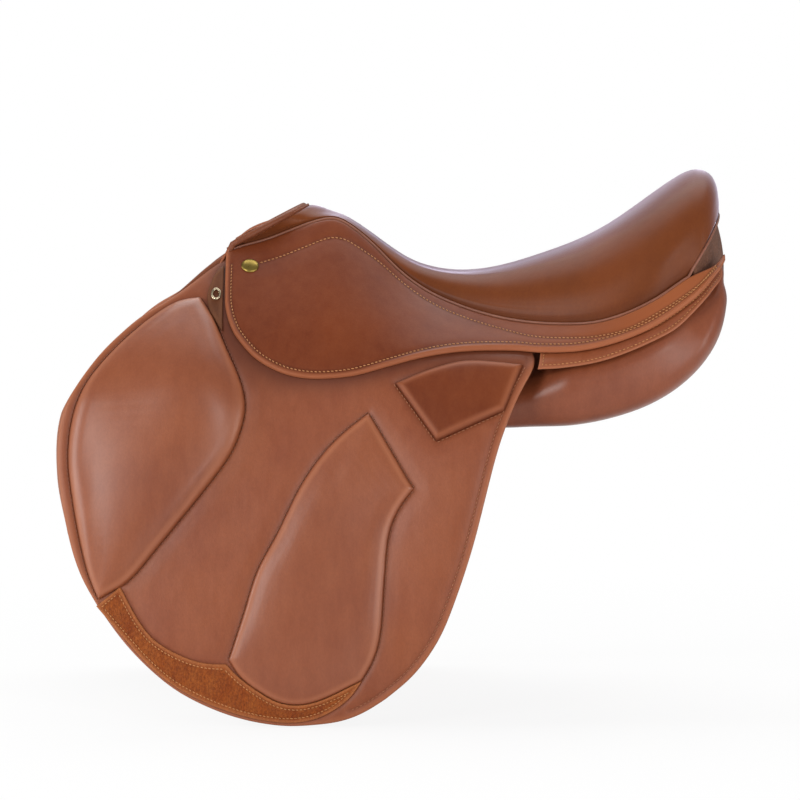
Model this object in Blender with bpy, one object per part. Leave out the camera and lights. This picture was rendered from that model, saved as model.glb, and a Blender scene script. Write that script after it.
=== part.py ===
# Close-contact jumping saddle with forward-cut flaps, knee pads and a wooden tree.
# Metres, +X towards the cantle, +Y towards the right-hand side, +Z up.
# The origin is where the saddle bears on the horse's spine line, under the deepest seat.
import math

import bmesh
import bpy
from mathutils import Matrix, Vector

MM = 0.001

# Leather, cushion and metal thicknesses
SKIRT_LEATHER = 4.0 * MM
FLAP_LEATHER = 4.5 * MM
GUARD_LEATHER = 2.4 * MM
STRAP_LEATHER = 4.0 * MM
WEBBING = 1.8 * MM
SWEAT_LEATHER = 3.0 * MM
SEAT_LEATHER = 2.0 * MM
FACING_LEATHER = 2.5 * MM
INSERT_LEATHER = 1.2 * MM
FOAM_THICKNESS = 14.0 * MM
TREE_WOOD = 12.0 * MM
PLATE_STEEL = 2.0 * MM

# The head's layers, across the horse's withers: widths at the crown and at the points
HEAD_CROWN_WIDTH = 38.3 * MM
HEAD_POINT_WIDTH = 52.0 * MM
HEAD_PLATE_WIDTH = 22.0 * MM
GULLET_PLATE_CROWN = 26.0 * MM
GULLET_PLATE_POINT = 30.0 * MM
HEAD_ARCH_FOLD = 165.0 * MM  # the arch's points are set out for this fold half width

# Foot of the facing behind the cantle
CANTLE_FOOT_X = 252.0 * MM
CANTLE_FOOT_Z = 110.0 * MM
CANTLE_FOOT_SPREAD = 120.0 * MM
CANTLE_FOOT_AHEAD = 42.0 * MM
CANTLE_FOOT_FALL = 6.0 * MM
CANTLE_FOOT_TAPER = 0.92
CANTLE_BULGE = 4.0 * MM
CANTLE_HALF = 0.74
CANTLE_TREE_HALF = 0.66

# Where the foam lies in the seat, and how thin its rim is
FOAM_START = 0.31
FOAM_SPAN = 0.52
FOAM_HALF = 0.66
FOAM_RIM = 3.0 * MM

# Clearances: SLIP between sheets that move on each other, TOUCH between pieces at rest
SLIP = 0.8 * MM
TOUCH = 0.3 * MM
STRAP_SLIP = 1.6 * MM
# Gaps between pieces that lie on each other over curved faces, whose facets differ
BEDDING = 0.7 * MM
SOFT_BEDDING = 1.2 * MM

# Pads that stand up from the flap
KNEE_PAD_HEIGHT = 20.0 * MM
LEAF_PAD_HEIGHT = 7.0 * MM
BLOCK_PAD_HEIGHT = 7.0 * MM
PAD_EDGE = 1.5 * MM
INNER_BLOCK_HEIGHT = 8.5 * MM

# Piping and binding
WELT_RADIUS = 2.2 * MM
WELT_DROP = 1.5 * MM
BAND_RADIUS = 2.8 * MM

# The flap folds along this line, just under the skirt
FOLD_X = -120.0 * MM
FOLD_Z = 26.0 * MM
FOLD_RISE = 0.09
FOLD_HALF_WIDTH = 165.0 * MM
FOLD_GAP = 0.6 * MM
FLAP_FOLD_FRONT = -360.0 * MM
FLAP_FOLD_REAR = 50.0 * MM

# Lowest reach and widest half width of the side surface
SIDE_BOTTOM = -330.0 * MM
BOTTOM_HALF_WIDTH = 226.0 * MM
FLAP_WRAP = 14.0 * MM
WRAP_CENTRE = -150.0 * MM
WRAP_REACH = 240.0 * MM

# Seat crown and dish
SEAT_FULLNESS = 2.6
SEAT_DISH = 6.0 * MM

# Brass nail that holds the skirt to the tree
NAIL_X = -199.0 * MM
NAIL_Z = 132.0 * MM
NAIL_RADIUS = 8.2 * MM
NAIL_RISE = 2.2 * MM
NAIL_SHANK = 1.6 * MM

# Stirrup bar, level, under the skirt
BAR_X = -202.0 * MM
BAR_Z = 82.0 * MM
BAR_LENGTH = 84.0 * MM
BAR_HEIGHT = 16.0 * MM
BAR_STEEL = 5.0 * MM
BAR_SLOT = 9.0 * MM
BAR_ROOT = 12.0 * MM
BAR_PLATE = 3.0 * MM
BAR_SINK = 3.5 * MM
CATCH_STEEL = 2.5 * MM
CATCH_GAP = 0.8 * MM
CATCH_ROOM = 17.0 * MM
WINDOW_MARGIN = 4.0 * MM

# Girth straps
STRAP_WIDTH = 25.0 * MM
STRAP_TOP = 24.0 * MM
STRAP_LENGTH = 195.0 * MM
STRAP_POINT = 16.0 * MM
STRAP_PIVOT_DROP = 4.0 * MM
STRAP_CENTRES = (-95.0 * MM, -60.0 * MM, -25.0 * MM)
STRAP_NAMES = ("front", "middle", "rear")
WEB_BEHIND = 2.0 * MM
WEB_SET_BACK = 8.0 * MM  # clear of the turning catch
WEB_FOOT = 8.0 * MM
WEB_BEND = 66.0 * MM
WEB_STEP = 3.0 * MM

# Front ring and its staple
RING_X = -229.5 * MM
RING_Z = 111.0 * MM
RING_WIRE = 1.3 * MM
RING_WIDTH = 8.5 * MM
RING_DROP = 12.0 * MM

# Skirt fold line, from the front edge to the rear
SKIRT_FOLD_FRONT = (-222.0 * MM, 110.0 * MM)
SKIRT_FOLD_REAR = (62.0 * MM, 68.0 * MM)
SKIRT_FOLD_LIFT = 16.5 * MM


def mm(rows):
    return [Vector([value * MM for value in row]) for row in rows]


# Skirt seam on the near side, as half widths: where seat, welt and skirt meet.
# Its first three points carry the side surface forward of the skirt.
SEAM = mm([
    (-380, 146, 52), (-300, 112, 98), (-261, 93, 118), (-222, 70, 146), (-183, 55, 158),
    (-159, 49, 167), (-139, 46, 174), (-122, 46, 177), (-108, 48, 172), (-86, 53, 155),
    (-57, 62, 127), (-33, 70, 110), (-4, 82, 97), (30, 97, 87), (63, 112, 82),
    (98, 125, 81), (124, 132, 83), (151, 137, 91), (180, 137, 105), (211, 126, 125),
    (230, 117, 133), (244, 99, 139), (252, 78, 144),
])
SKIRT_FIRST = 3

# Sections of the seat, front to rear: where each leaves the seam (x), and its crown (x, z).
# The last ones wrap over the cantle and end at the piping behind it.
SEAT_SECTIONS = mm([
    (-222, -150, 186), (-202, -143, 188), (-178, -137, 187), (-158, -131, 185),
    (-138, -126, 182), (-122, -114, 178), (-108, -102, 171), (-86, -82, 157),
    (-57, -56, 139), (-33, -33, 131), (-4, -4, 127), (30, 30, 130), (63, 63, 139),
    (98, 98, 151), (124, 126, 162), (151, 156, 179), (176, 184, 199), (192, 208, 215),
    (200, 224, 222), (206, 238, 218), (209, 244, 203), (211, 246, 184),
])

# Outlines in side view, (x, z): four sides each, the next side starting at each corner
FLAP = [
    mm([(-214, 144), (-185, 141), (-150, 124), (-60, 98), (56, 66)]),
    mm([(56, 66), (66, 44), (44, 3), (20, -74), (-6, -163), (-46, -236), (-71, -257)]),
    mm([(-71, -257), (-112, -278), (-163, -282), (-232, -265), (-289, -228), (-335, -173)]),
    mm([(-335, -173), (-363, -115), (-374, -57), (-371, -5), (-350, 38), (-311, 80),
        (-279, 99), (-240, 131), (-214, 144)]),
]
SKIRT = [
    mm([(-222, 104), (-222, 90), (-210, 69), (-192, 51), (-168, 37)]),
    mm([(-168, 37), (-121, 31), (-69, 43), (2, 57), (47, 58), (109, 58), (144, 66),
        (179, 82), (215, 109), (240, 131)]),
    mm([(240, 131), (244, 134), (246, 136.5)]),
]
SWEAT_FLAP = [
    mm([(-292, 96), (-262, 62), (-220, 42), (-130, 38), (-40, 38), (40, 36)]),
    mm([(40, 36), (22, -40), (0, -110), (-40, -170)]),
    mm([(-40, -170), (-100, -214), (-200, -214), (-300, -176), (-368, -108)]),
    mm([(-368, -108), (-378, -57), (-375, -5), (-354, 40), (-315, 82), (-292, 96)]),
]
KNEE_PAD = [
    mm([(-297, 82), (-279, 95), (-257, 104), (-243, 103)]),
    mm([(-243, 103), (-223, 62), (-202, 24), (-199, 5), (-212, -33), (-260, -95), (-314, -156)]),
    mm([(-314, -156), (-325, -163), (-334, -166)]),
    mm([(-334, -166), (-355, -106), (-363, -45), (-359, 2), (-333, 47), (-297, 82)]),
]
LEAF_PAD = [
    mm([(-87, 3), (-62, -39), (-50, -60)]),
    mm([(-50, -60), (-69, -104), (-74, -160), (-80, -215), (-93, -239)]),
    mm([(-93, -239), (-127, -256), (-148, -261), (-190, -247), (-213, -221)]),
    mm([(-213, -221), (-188, -140), (-153, -70), (-115, -19), (-87, 3)]),
]
BLOCK_PAD = [
    mm([(-63, 29), (-41, 39), (0, 51)]),
    mm([(0, 51), (22, 30), (38, 5)]),
    mm([(38, 5), (6, -9), (-25, -23)]),
    mm([(-25, -23), (-44, 3), (-63, 29)]),
]
INSERT = [
    mm([(-314, -158), (-297, -187), (-268, -214), (-236, -226), (-218, -228), (-210, -233),
        (-190, -249.5), (-148, -263.5), (-127, -258.5), (-98, -244)]),
    mm([(-98, -244), (-102, -250), (-108, -256)]),
    mm([(-108, -256), (-124, -269), (-140, -276), (-163, -280), (-200, -274), (-232, -262),
        (-263, -247), (-289, -226), (-312, -202), (-331, -174)]),
    mm([(-331, -174), (-323, -166), (-314, -158)]),
]
RING_TAB = [
    mm([(-223.5, 134), (-228, 131), (-233, 124)]),
    mm([(-233, 124), (-238, 109), (-236.5, 95), (-230, 84)]),
    mm([(-230, 84), (-227, 79), (-223.5, 75)]),
    mm([(-223.5, 75), (-223.5, 100), (-223.5, 134)]),
]
REAR_FACING = [
    mm([(72, 64), (109, 64), (144, 72), (179, 88), (215, 114), (236, 129)]),
    mm([(236, 129), (240, 126), (244, 123)]),
    mm([(244, 123), (222, 103), (198, 80), (176, 68), (147, 56), (120, 48), (91, 44), (69, 43)]),
    mm([(69, 43), (71, 53), (72, 64)]),
]
GUARD = [
    mm([(-112, 24), (-58, 25), (-4, 20)]),
    mm([(-4, 20), (-4, -40), (-12, -92), (-26, -108)]),
    mm([(-26, -108), (-58, -116), (-90, -108)]),
    mm([(-90, -108), (-104, -92), (-112, -40), (-112, 24)]),
]
INNER_KNEE_BLOCK = [
    mm([(-330, 20), (-310, 38), (-285, 40)]),
    mm([(-285, 40), (-262, -30), (-280, -100), (-318, -140)]),
    mm([(-318, -140), (-332, -136), (-342, -120)]),
    mm([(-342, -120), (-350, -50), (-330, 20)]),
]
# Panel sausage: (x, z) of its core, core half width, half length and half height of its
# section, and how far its outer edge is turned down, in degrees
PANEL = [
    (-218, 60, 70, 28, 8, 62),
    (-196, 56, 72, 36, 11, 60),
    (-150, 48, 77, 45, 14, 56),
    (-90, 40, 85, 54, 15, 48),
    (-30, 29, 90, 58, 18, 38),
    (30, 18, 92, 58, 22, 27),
    (80, 16, 92, 58, 24, 18),
    (125, 19, 90, 57, 24, 12),
    (165, 30, 88, 54, 24, 9),
    (198, 49, 84, 50, 24, 6),
    (224, 75, 79, 42, 22, 3),
    (240, 100, 74, 22, 12, 0),
]

# Wooden head arch: core of the arch from the near point to its crown, as (x, y, z)
HEAD_ARCH = mm([
    (-216, 98, 60), (-205, 84, 90), (-190, 64, 118), (-170, 44, 140), (-152, 22, 153),
    (-146, 0, 157),
])


class Track:
    # A smooth curve through points, by distance along it or in even steps
    def __init__(self, points, even=False):
        self.points = [Vector(p) for p in points]
        self.knots = [0.0]
        for a, b in zip(self.points, self.points[1:]):
            self.knots.append(self.knots[-1] + (1 if even else (b - a).length))

    def slope(self, i):
        lo = max(i - 1, 0)
        hi = min(i + 1, len(self.points) - 1)
        return (self.points[hi] - self.points[lo]) / (self.knots[hi] - self.knots[lo])

    def span(self, s):
        i = 0
        while i < len(self.knots) - 2 and s > self.knots[i + 1]:
            i += 1
        return i

    def at(self, t):
        s = t * self.knots[-1]
        i = self.span(s)
        h = self.knots[i + 1] - self.knots[i]
        return hermite(self.points[i], self.points[i + 1],
                       self.slope(i) * h, self.slope(i + 1) * h, (s - self.knots[i]) / h)


def hermite(a, b, ma, mb, t):
    return (a * (2 * t ** 3 - 3 * t * t + 1) + ma * (t ** 3 - 2 * t * t + t)
            + b * (3 * t * t - 2 * t ** 3) + mb * (t ** 3 - t * t))


def seam_at(x):
    # Half width and height of the seam at x
    xs = [p.x for p in SEAM]
    i = 0
    while i < len(xs) - 2 and x > xs[i + 1]:
        i += 1
    a, b = SEAM[i], SEAM[i + 1]
    h = b.x - a.x
    t = (x - a.x) / h
    if t < 0 or t > 1:
        return a.lerp(b, t)
    before = SEAM[max(i - 1, 0)]
    after = SEAM[min(i + 2, len(xs) - 1)]
    ma = (b - before) * (h / (b.x - before.x))
    mb = (after - a) * (h / (after.x - a.x))
    return hermite(a, b, ma, mb, t)


def fold_z(x):
    return FOLD_Z + (x - FOLD_X) * FOLD_RISE


def half_width(x, z):
    # Half width of the side surface: from the seam out to the fold, then down the barrel
    seam = seam_at(x)
    zf = fold_z(x)
    zw = max(seam.z, zf + 25 * MM)
    run = (seam.y - FOLD_HALF_WIDTH) / (zw - zf)
    fold_slope = 0.5 * run
    if z > zf:
        h = zw - zf
        t = (z - zf) / h
        if t > 1:
            return seam.y + 1.2 * run * (z - zw)
        return hermite(FOLD_HALF_WIDTH, seam.y, fold_slope * h, 1.2 * run * h, t)
    low = BOTTOM_HALF_WIDTH - FLAP_WRAP * ((x - WRAP_CENTRE) / WRAP_REACH) ** 2
    h = SIDE_BOTTOM - zf
    return hermite(FOLD_HALF_WIDTH, low, fold_slope * h, 0.02 * h, (z - zf) / h)


def side_point(x, z):
    return Vector((x, half_width(x, z), z))


def side_normal(x, z):
    step = 0.5 * MM
    along = side_point(x + step, z) - side_point(x - step, z)
    up = side_point(x, z + step) - side_point(x, z - step)
    return up.cross(along).normalized()


def side(x, z, depth):
    # A point at this depth outside the skirt's outer face, on the +Y side
    return side_point(x, z) + side_normal(x, z) * depth


# Layer faces, as depths outside the skirt's outer face
SKIRT_IN = -SKIRT_LEATHER
FLAP_OUT = SKIRT_IN - SLIP
FLAP_IN = FLAP_OUT - FLAP_LEATHER
GUARD_OUT = FLAP_IN - SLIP
GUARD_IN = GUARD_OUT - GUARD_LEATHER
STRAP_OUT = GUARD_IN - STRAP_SLIP
STRAP_IN = STRAP_OUT - STRAP_LEATHER
WEB_OUT = STRAP_IN - 2 * TOUCH
WEB_IN = WEB_OUT - WEBBING
SWEAT_OUT = WEB_IN - SLIP
SWEAT_IN = SWEAT_OUT - SWEAT_LEATHER
TAB_OUT = -0.8 * MM

SEAT_LIFT = SEAT_LEATHER
SEAT_INSET = WELT_RADIUS + BEDDING
SEAT_STATIONS = 26
COVER_FIRST = 0.05
SEAT_STRIPS = 14
SEAT_ROWS = Track(SEAT_SECTIONS, even=True)
SEAT_LENGTH = SEAT_SECTIONS[-1].x - SEAT_SECTIONS[0].x


def seat_edge(u):
    seam = seam_at(SEAT_ROWS.at(u).x)
    return seam + Vector((0, -SEAT_INSET, SEAT_LIFT))


def seat_surface(u, v):
    edge = seat_edge(u)
    row = SEAT_ROWS.at(u)
    centre = Vector((row.y, row.z))
    angle = (1 - abs(v)) * math.pi / 2
    rise = max(math.sin(angle), 0.0) ** (2 / SEAT_FULLNESS)
    out = max(math.cos(angle), 0.0) ** (2 / SEAT_FULLNESS)
    y = math.copysign(edge.y * out, v)
    dip = SEAT_DISH * math.sin(math.pi * min(max((u - 0.3) / 0.55, 0), 1)) * max(1 - (out / 0.7) ** 2, 0)
    return Vector((edge.x + (centre.x - edge.x) * rise, y, edge.z + (centre.y - edge.z) * rise - dip))


def seat_normal(u, v):
    step = 0.004
    v = min(max(v, -1 + 2 * step), 1 - 2 * step)
    along = seat_surface(u + step, v) - seat_surface(u - step, v)
    across = seat_surface(u, v + step) - seat_surface(u, v - step)
    normal = along.cross(across).normalized()
    if normal.y * v < 0 and abs(v) > 0.5:
        normal.y = 0
    return normal.normalized()


def seat(u, v, depth):
    return seat_surface(u, v) + seat_normal(u, v) * depth


def seat_row(x):
    # The section of the seat whose edge lies at x
    low, high = 0.0, 1.0
    for _ in range(20):
        middle = (low + high) / 2
        if SEAT_ROWS.at(middle).x < x:
            low = middle
        else:
            high = middle
    return low


def clear_scene():
    for item in list(bpy.data.objects):
        bpy.data.objects.remove(item)


def material(name, colour, roughness, metallic=0.0):
    mat = bpy.data.materials.new(name)
    mat.use_nodes = True
    shader = mat.node_tree.nodes["Principled BSDF"]
    shader.inputs["Base Color"].default_value = (*colour, 1)
    shader.inputs["Roughness"].default_value = roughness
    shader.inputs["Metallic"].default_value = metallic
    return mat


def add_object(name, bm, mat, origin=Vector((0, 0, 0)), parent=None):
    bm.normal_update()
    bmesh.ops.recalc_face_normals(bm, faces=bm.faces)
    bmesh.ops.translate(bm, verts=bm.verts, vec=-origin)
    mesh = bpy.data.meshes.new(name)
    bm.to_mesh(mesh)
    bm.free()
    mesh.materials.append(mat)
    item = bpy.data.objects.new(name, mesh)
    item.location = origin
    PARTS.objects.link(item)
    if parent is not None:
        item.parent = parent
        item.location = origin - parent.location
    return item


def mirrored(point, hand):
    # hand is -1 on the near side (-Y) and +1 on the off side
    return Vector((point.x, point.y * hand, point.z))


def slab(shape, columns, rows):
    # A block of u, v, w in 0..1, bent to shape(u, v, w)
    bm = bmesh.new()
    bmesh.ops.create_grid(bm, x_segments=columns, y_segments=rows, size=0.5)
    bmesh.ops.translate(bm, verts=bm.verts, vec=(0.5, 0.5, 0))
    lid = bmesh.ops.extrude_face_region(bm, geom=bm.faces[:])
    top = [v for v in lid["geom"] if isinstance(v, bmesh.types.BMVert)]
    bmesh.ops.translate(bm, verts=top, vec=(0, 0, 1))
    for vert in bm.verts:
        vert.co = shape(*vert.co)
    return bm


def coons(sides, u, v):
    # A point of the patch between four sides that run one after another round it
    low, right, top, left = (Track(side_points) for side_points in sides)
    a, b, c, d = low.at(u), right.at(v), top.at(1 - u), left.at(1 - v)
    p00, p10, p11, p01 = low.at(0), right.at(0), top.at(0), left.at(0)
    return (a * (1 - v) + c * v + d * (1 - u) + b * u
            - p00 * ((1 - u) * (1 - v)) - p10 * (u * (1 - v)) - p11 * (u * v) - p01 * ((1 - u) * v))


def sheet(sides, inner, outer, columns, rows, hand):
    # A leather sheet between two depths, cut to four sides
    def shape(u, v, w):
        p = coons(sides, u, v)
        return mirrored(side(p.x, p.y, inner + (outer - inner) * w), hand)
    return slab(shape, columns, rows)


def pad(sides, base, height, gap, columns, rows, hand):
    # A crowned pad with drawn-in sides, standing on a sheet at the base depth
    def spread(t):
        return 0.5 - 0.5 * math.cos(math.pi * t)

    def shape(u, v, w):
        crown = math.sin(math.pi * u) * math.sin(math.pi * v)
        p = coons(sides, spread(u), spread(v))
        rise = PAD_EDGE + (height - PAD_EDGE) * max(crown, 0) ** 0.6
        return mirrored(side(p.x, p.y, base + gap + rise * w), hand)
    return slab(shape, columns, rows)


def cut(bm, point, normal):
    # Keeps what lies behind the plane and closes the cut
    bmesh.ops.bisect_plane(bm, geom=bm.verts[:] + bm.edges[:] + bm.faces[:], dist=1e-6,
                           plane_co=point, plane_no=normal, clear_outer=True)
    edges = [e for e in bm.edges if e.is_boundary]
    bmesh.ops.edgeloop_fill(bm, edges=edges)


def split(bm, point, normal):
    # The two halves of a body, FOLD_GAP apart at the plane: in front of it, and behind it
    bmesh.ops.triangulate(bm, faces=bm.faces)
    front = bm.copy()
    half = normal.normalized() * (FOLD_GAP / 2)
    cut(front, point + half, -normal)
    cut(bm, point - half, normal)
    return front, bm


class Fold:
    # A fold axis above a line of the side surface, and the plane that parts the leather
    def __init__(self, front, rear, depth, lift, hand):
        a = side(front[0], front[1], depth)
        b = side(rear[0], rear[1], depth)
        middle = side_normal((front[0] + rear[0]) / 2, (front[1] + rear[1]) / 2)
        along = (b - a).normalized()
        up = (middle - along * middle.dot(along)).normalized()
        self.origin = mirrored((a + b) / 2 + up * lift, hand)
        self.axis = mirrored(along, hand)
        self.upward = mirrored(up.cross(along).normalized(), hand)
        if self.upward.z < 0:
            self.upward = -self.upward


def empty(name, origin):
    item = bpy.data.objects.new(name, None)
    item.location = origin
    item.hide_render = True
    PARTS.objects.link(item)
    return item


def prism(outline, height):
    # A flat outline in x and z, pushed out along y to both sides of it
    bm = bmesh.new()
    verts = [bm.verts.new((x, -height / 2, z)) for x, z in outline]
    bm.faces.new(verts)
    out = bmesh.ops.extrude_face_region(bm, geom=bm.faces[:])
    top = [v for v in out["geom"] if isinstance(v, bmesh.types.BMVert)]
    bmesh.ops.translate(bm, verts=top, vec=(0, height, 0))
    return bm


def tube(name, points, radius, mat, cyclic=False, resolution=2):
    # A round cord through points
    curve = bpy.data.curves.new(name, "CURVE")
    curve.dimensions = "3D"
    curve.bevel_depth = radius
    curve.bevel_resolution = resolution
    curve.use_fill_caps = not cyclic
    spline = curve.splines.new("POLY")
    spline.points.add(len(points) - 1)
    for slot, p in zip(spline.points, points):
        slot.co = (*p, 1)
    spline.use_cyclic_u = cyclic
    curve.materials.append(mat)
    item = bpy.data.objects.new(name, curve)
    PARTS.objects.link(item)
    return item


def side_name(hand):
    return "left" if hand < 0 else "right"


# Tree: rails, head, cantle and the steel that stiffens it
FOAM_TOP = SEAT_LEATHER + SOFT_BEDDING
FOAM_BOTTOM = FOAM_TOP + FOAM_THICKNESS
SEAT_WEB_TOP = FOAM_BOTTOM + BEDDING
RAIL_TOP = SEAT_WEB_TOP + WEBBING + BEDDING
RAIL_FIRST = 0.2
WEB_FIRST = 0.26
RAIL_LAST = 0.74
RAIL_INNER = 0.36
RAIL_OUTER = 0.62
RAIL_MIDDLE = 0.5 * (RAIL_INNER + RAIL_OUTER)
LINING_EDGE = RAIL_INNER - 0.01
CANTLE_LAST = 0.84


def seat_slab(u0, u1, v0, v1, top, bottom, columns, rows):
    def shape(u, v, w):
        return seat(u0 + (u1 - u0) * u, v0 + (v1 - v0) * v, -bottom + (bottom - top) * w)
    return slab(shape, columns, rows)


def build_tree():
    for hand in (-1, 1):
        rail = seat_slab(RAIL_FIRST, RAIL_LAST, RAIL_INNER * hand, RAIL_OUTER * hand,
                         RAIL_TOP, RAIL_TOP + TREE_WOOD, 14, 2)
        add_object("tree_rail_" + side_name(hand), rail, WOOD)
    gap = BEDDING / SEAT_LENGTH
    cantle = seat_slab(RAIL_LAST + gap, CANTLE_LAST, -CANTLE_TREE_HALF, CANTLE_TREE_HALF,
                       RAIL_TOP, RAIL_TOP + TREE_WOOD, 2, 16)
    add_object("tree_cantle", cantle, WOOD)
    spread = FOLD_HALF_WIDTH / HEAD_ARCH_FOLD
    arch = [Vector((p.x, p.y * spread, p.z)) for p in HEAD_ARCH]
    path = arch + [mirrored(p, -1) for p in reversed(arch[:-1])]
    arch_layer("tree_head", path, 0.0, TREE_WOOD, HEAD_CROWN_WIDTH, HEAD_POINT_WIDTH, WOOD, 20)
    arch_layer("head_plate", path, TREE_WOOD / 2 + BEDDING + PLATE_STEEL / 2, PLATE_STEEL,
               HEAD_PLATE_WIDTH, HEAD_PLATE_WIDTH, STEEL, 20)
    arch_layer("gullet_plate", path, -TREE_WOOD / 2 - BEDDING - PLATE_STEEL / 2, PLATE_STEEL,
               GULLET_PLATE_CROWN, GULLET_PLATE_POINT, STEEL, 20)


def arch_layer(name, path, lift, thickness, crown_width, point_width, mat, rows):
    # One bent layer of the head arch, lifted off its core line
    track = Track(path)

    def shape(u, v, w):
        t = 0.04 + 0.92 * v
        here = track.at(t)
        run = (track.at(min(t + 0.01, 1)) - track.at(max(t - 0.01, 0))).normalized()
        wide = Vector((1, 0, 0))
        wide = (wide - run * wide.dot(run)).normalized()
        up = wide.cross(run).normalized()
        if up.z < 0:
            up = -up
        width = crown_width + (point_width - crown_width) * abs(2 * t - 1) ** 2
        return here + wide * ((u - 0.5) * width) + up * (lift + (w - 0.5) * thickness)
    add_object(name, slab(shape, 2, rows), mat)


def build_seat():
    def foam_shape(u, v, w):
        edge = max(math.sin(math.pi * u) * math.sin(math.pi * v), 0) ** 0.35
        bottom = FOAM_BOTTOM - (FOAM_THICKNESS - FOAM_RIM) * (1 - edge)
        return seat(FOAM_START + FOAM_SPAN * u, FOAM_HALF * (2 * v - 1), -bottom + (bottom - FOAM_TOP) * w)

    add_object("seat_foam", slab(foam_shape, 16, 10), FOAM)
    web = seat_slab(WEB_FIRST, RAIL_LAST, -RAIL_MIDDLE, RAIL_MIDDLE,
                    SEAT_WEB_TOP, SEAT_WEB_TOP + WEBBING, 14, 8)
    add_object("seat_web", web, CANVAS)
    cover = seat_slab(COVER_FIRST, 0.996, -1, 1, 0, SEAT_LEATHER, SEAT_STATIONS, SEAT_STRIPS)
    add_object("seat_cover", cover, LEATHER)
    lining_top = RAIL_TOP + TREE_WOOD - FACING_LEATHER
    lining = seat_slab(WEB_FIRST, RAIL_LAST, -LINING_EDGE, LINING_EDGE,
                       lining_top, RAIL_TOP + TREE_WOOD, 14, 4)
    add_object("gullet_lining", lining, DARK)


def seat_stations(count, first=0.0, last=1.0):
    return [first + (last - first) * k / count for k in range(count + 1)]


def build_welt():
    # One piping from the near front corner, round the cantle, to the off front corner
    near = [mirrored(seam_at(SEAT_ROWS.at(t).x), -1) for t in seat_stations(SEAT_STATIONS)]
    near = [p - Vector((0, 0, WELT_DROP)) for p in near]
    drop = Vector((-SEAT_INSET / 2, 0, SEAT_LIFT + WELT_DROP))
    rear = [seat_surface(1.0, v) - drop for v in seat_stations(SEAT_STRIPS, -1, 1)[1:-1]]
    off = [mirrored(p, -1) for p in reversed(near)]
    tube("seat_welt", near + rear + off, WELT_RADIUS, LEATHER, resolution=1)


def build_head_band():
    # The bound edge of the pommel, in front of the seat cover
    line = (seat_surface(0.0, 0.0) - seat_surface(0.0, 1.0)).normalized()
    ahead = Vector((-line.z, 0, line.x)).normalized() * (BAND_RADIUS / 2)
    points = [seat_surface(0.0, v) + ahead for v in seat_stations(SEAT_STRIPS, -0.98, 0.98)]
    tube("head_band", points, BAND_RADIUS, LEATHER)


def build_cantle_facing():
    drop = SEAT_LIFT + WELT_DROP + WELT_RADIUS + 2 * BEDDING

    def shape(u, v, w):
        top = seat_surface(1.0, CANTLE_HALF * (2 * u - 1)) - Vector((SEAT_INSET, 0, drop))
        share = (top.y / CANTLE_FOOT_SPREAD) ** 2
        foot = Vector((CANTLE_FOOT_X - CANTLE_FOOT_AHEAD * share, top.y * CANTLE_FOOT_TAPER,
                       CANTLE_FOOT_Z - CANTLE_FOOT_FALL * share))
        here = top.lerp(foot, v)
        here.x += CANTLE_BULGE * math.sin(math.pi * v)
        return here - Vector((FACING_LEATHER * (1 - w), 0, 0))
    add_object("cantle_facing", slab(shape, 16, 4), GRAIN)


def skirt_outline():
    # The skirt's upper side follows the seam, one welt below it
    drop = Vector((0, 0, -(WELT_DROP + WELT_RADIUS + BEDDING)))
    top = [p + drop for p in SEAM[SKIRT_FIRST:-1]]
    upper = [Vector((p.x, p.z)) for p in reversed(top)]
    upper[0] = SKIRT[2][-1]
    front = [upper[-1], Vector((upper[-1].x, 0.5 * (upper[-1].y + SKIRT[0][0].y))), SKIRT[0][0]]
    return [front + SKIRT[0][1:], SKIRT[1], SKIRT[2], upper]


def build_flap(hand):
    name = side_name(hand)
    fold = Fold((FLAP_FOLD_FRONT, fold_z(FLAP_FOLD_FRONT)),
                (FLAP_FOLD_REAR, fold_z(FLAP_FOLD_REAR)), FLAP_OUT,
                KNEE_PAD_HEIGHT + SOFT_BEDDING + SLIP, hand)
    hinge = empty("flap_hinge_" + name, fold.origin)
    sheet_mesh = sheet(FLAP, FLAP_IN, FLAP_OUT, 12, 14, hand)
    top, low = split(sheet_mesh, fold.origin, fold.upward)
    fixed = add_object("flap_top_" + name, top, LEATHER)
    add_object("flap_" + name, low, LEATHER, fold.origin, hinge)
    top, low = split(pad(KNEE_PAD, FLAP_OUT, KNEE_PAD_HEIGHT, SOFT_BEDDING, 7, 12, hand),
                     fold.origin, fold.upward)
    add_object("knee_pad_top_" + name, top, LEATHER)
    add_object("knee_pad_" + name, low, LEATHER, fold.origin, hinge)
    leaf = pad(LEAF_PAD, FLAP_OUT, LEAF_PAD_HEIGHT, SOFT_BEDDING, 6, 8, hand)
    add_object("leaf_pad_" + name, leaf, LEATHER, fold.origin, hinge)
    top, low = split(pad(BLOCK_PAD, FLAP_OUT, BLOCK_PAD_HEIGHT, BEDDING, 5, 5, hand),
                     fold.origin, fold.upward)
    top.free()
    add_object("block_pad_" + name, low, LEATHER, fold.origin, hinge)
    insert_in = FLAP_OUT + BEDDING
    insert = sheet(INSERT, insert_in, insert_in + INSERT_LEATHER, 14, 2, hand)
    add_object("bottom_insert_" + name, insert, GRAIN, fold.origin, hinge)
    return fixed, fold


def build_skirt(hand):
    name = side_name(hand)
    fold = Fold(SKIRT_FOLD_FRONT, SKIRT_FOLD_REAR, 0.0, SKIRT_FOLD_LIFT, hand)
    hinge = empty("skirt_hinge_" + name, fold.origin)
    body = sheet(skirt_outline(), SKIRT_IN, 0.0, 5, 28, hand)
    top, low = split(body, fold.origin, fold.upward)
    fixed = add_object("skirt_top_" + name, top, LEATHER)
    add_object("skirt_" + name, low, LEATHER, fold.origin, hinge)
    return fixed, fold


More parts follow.
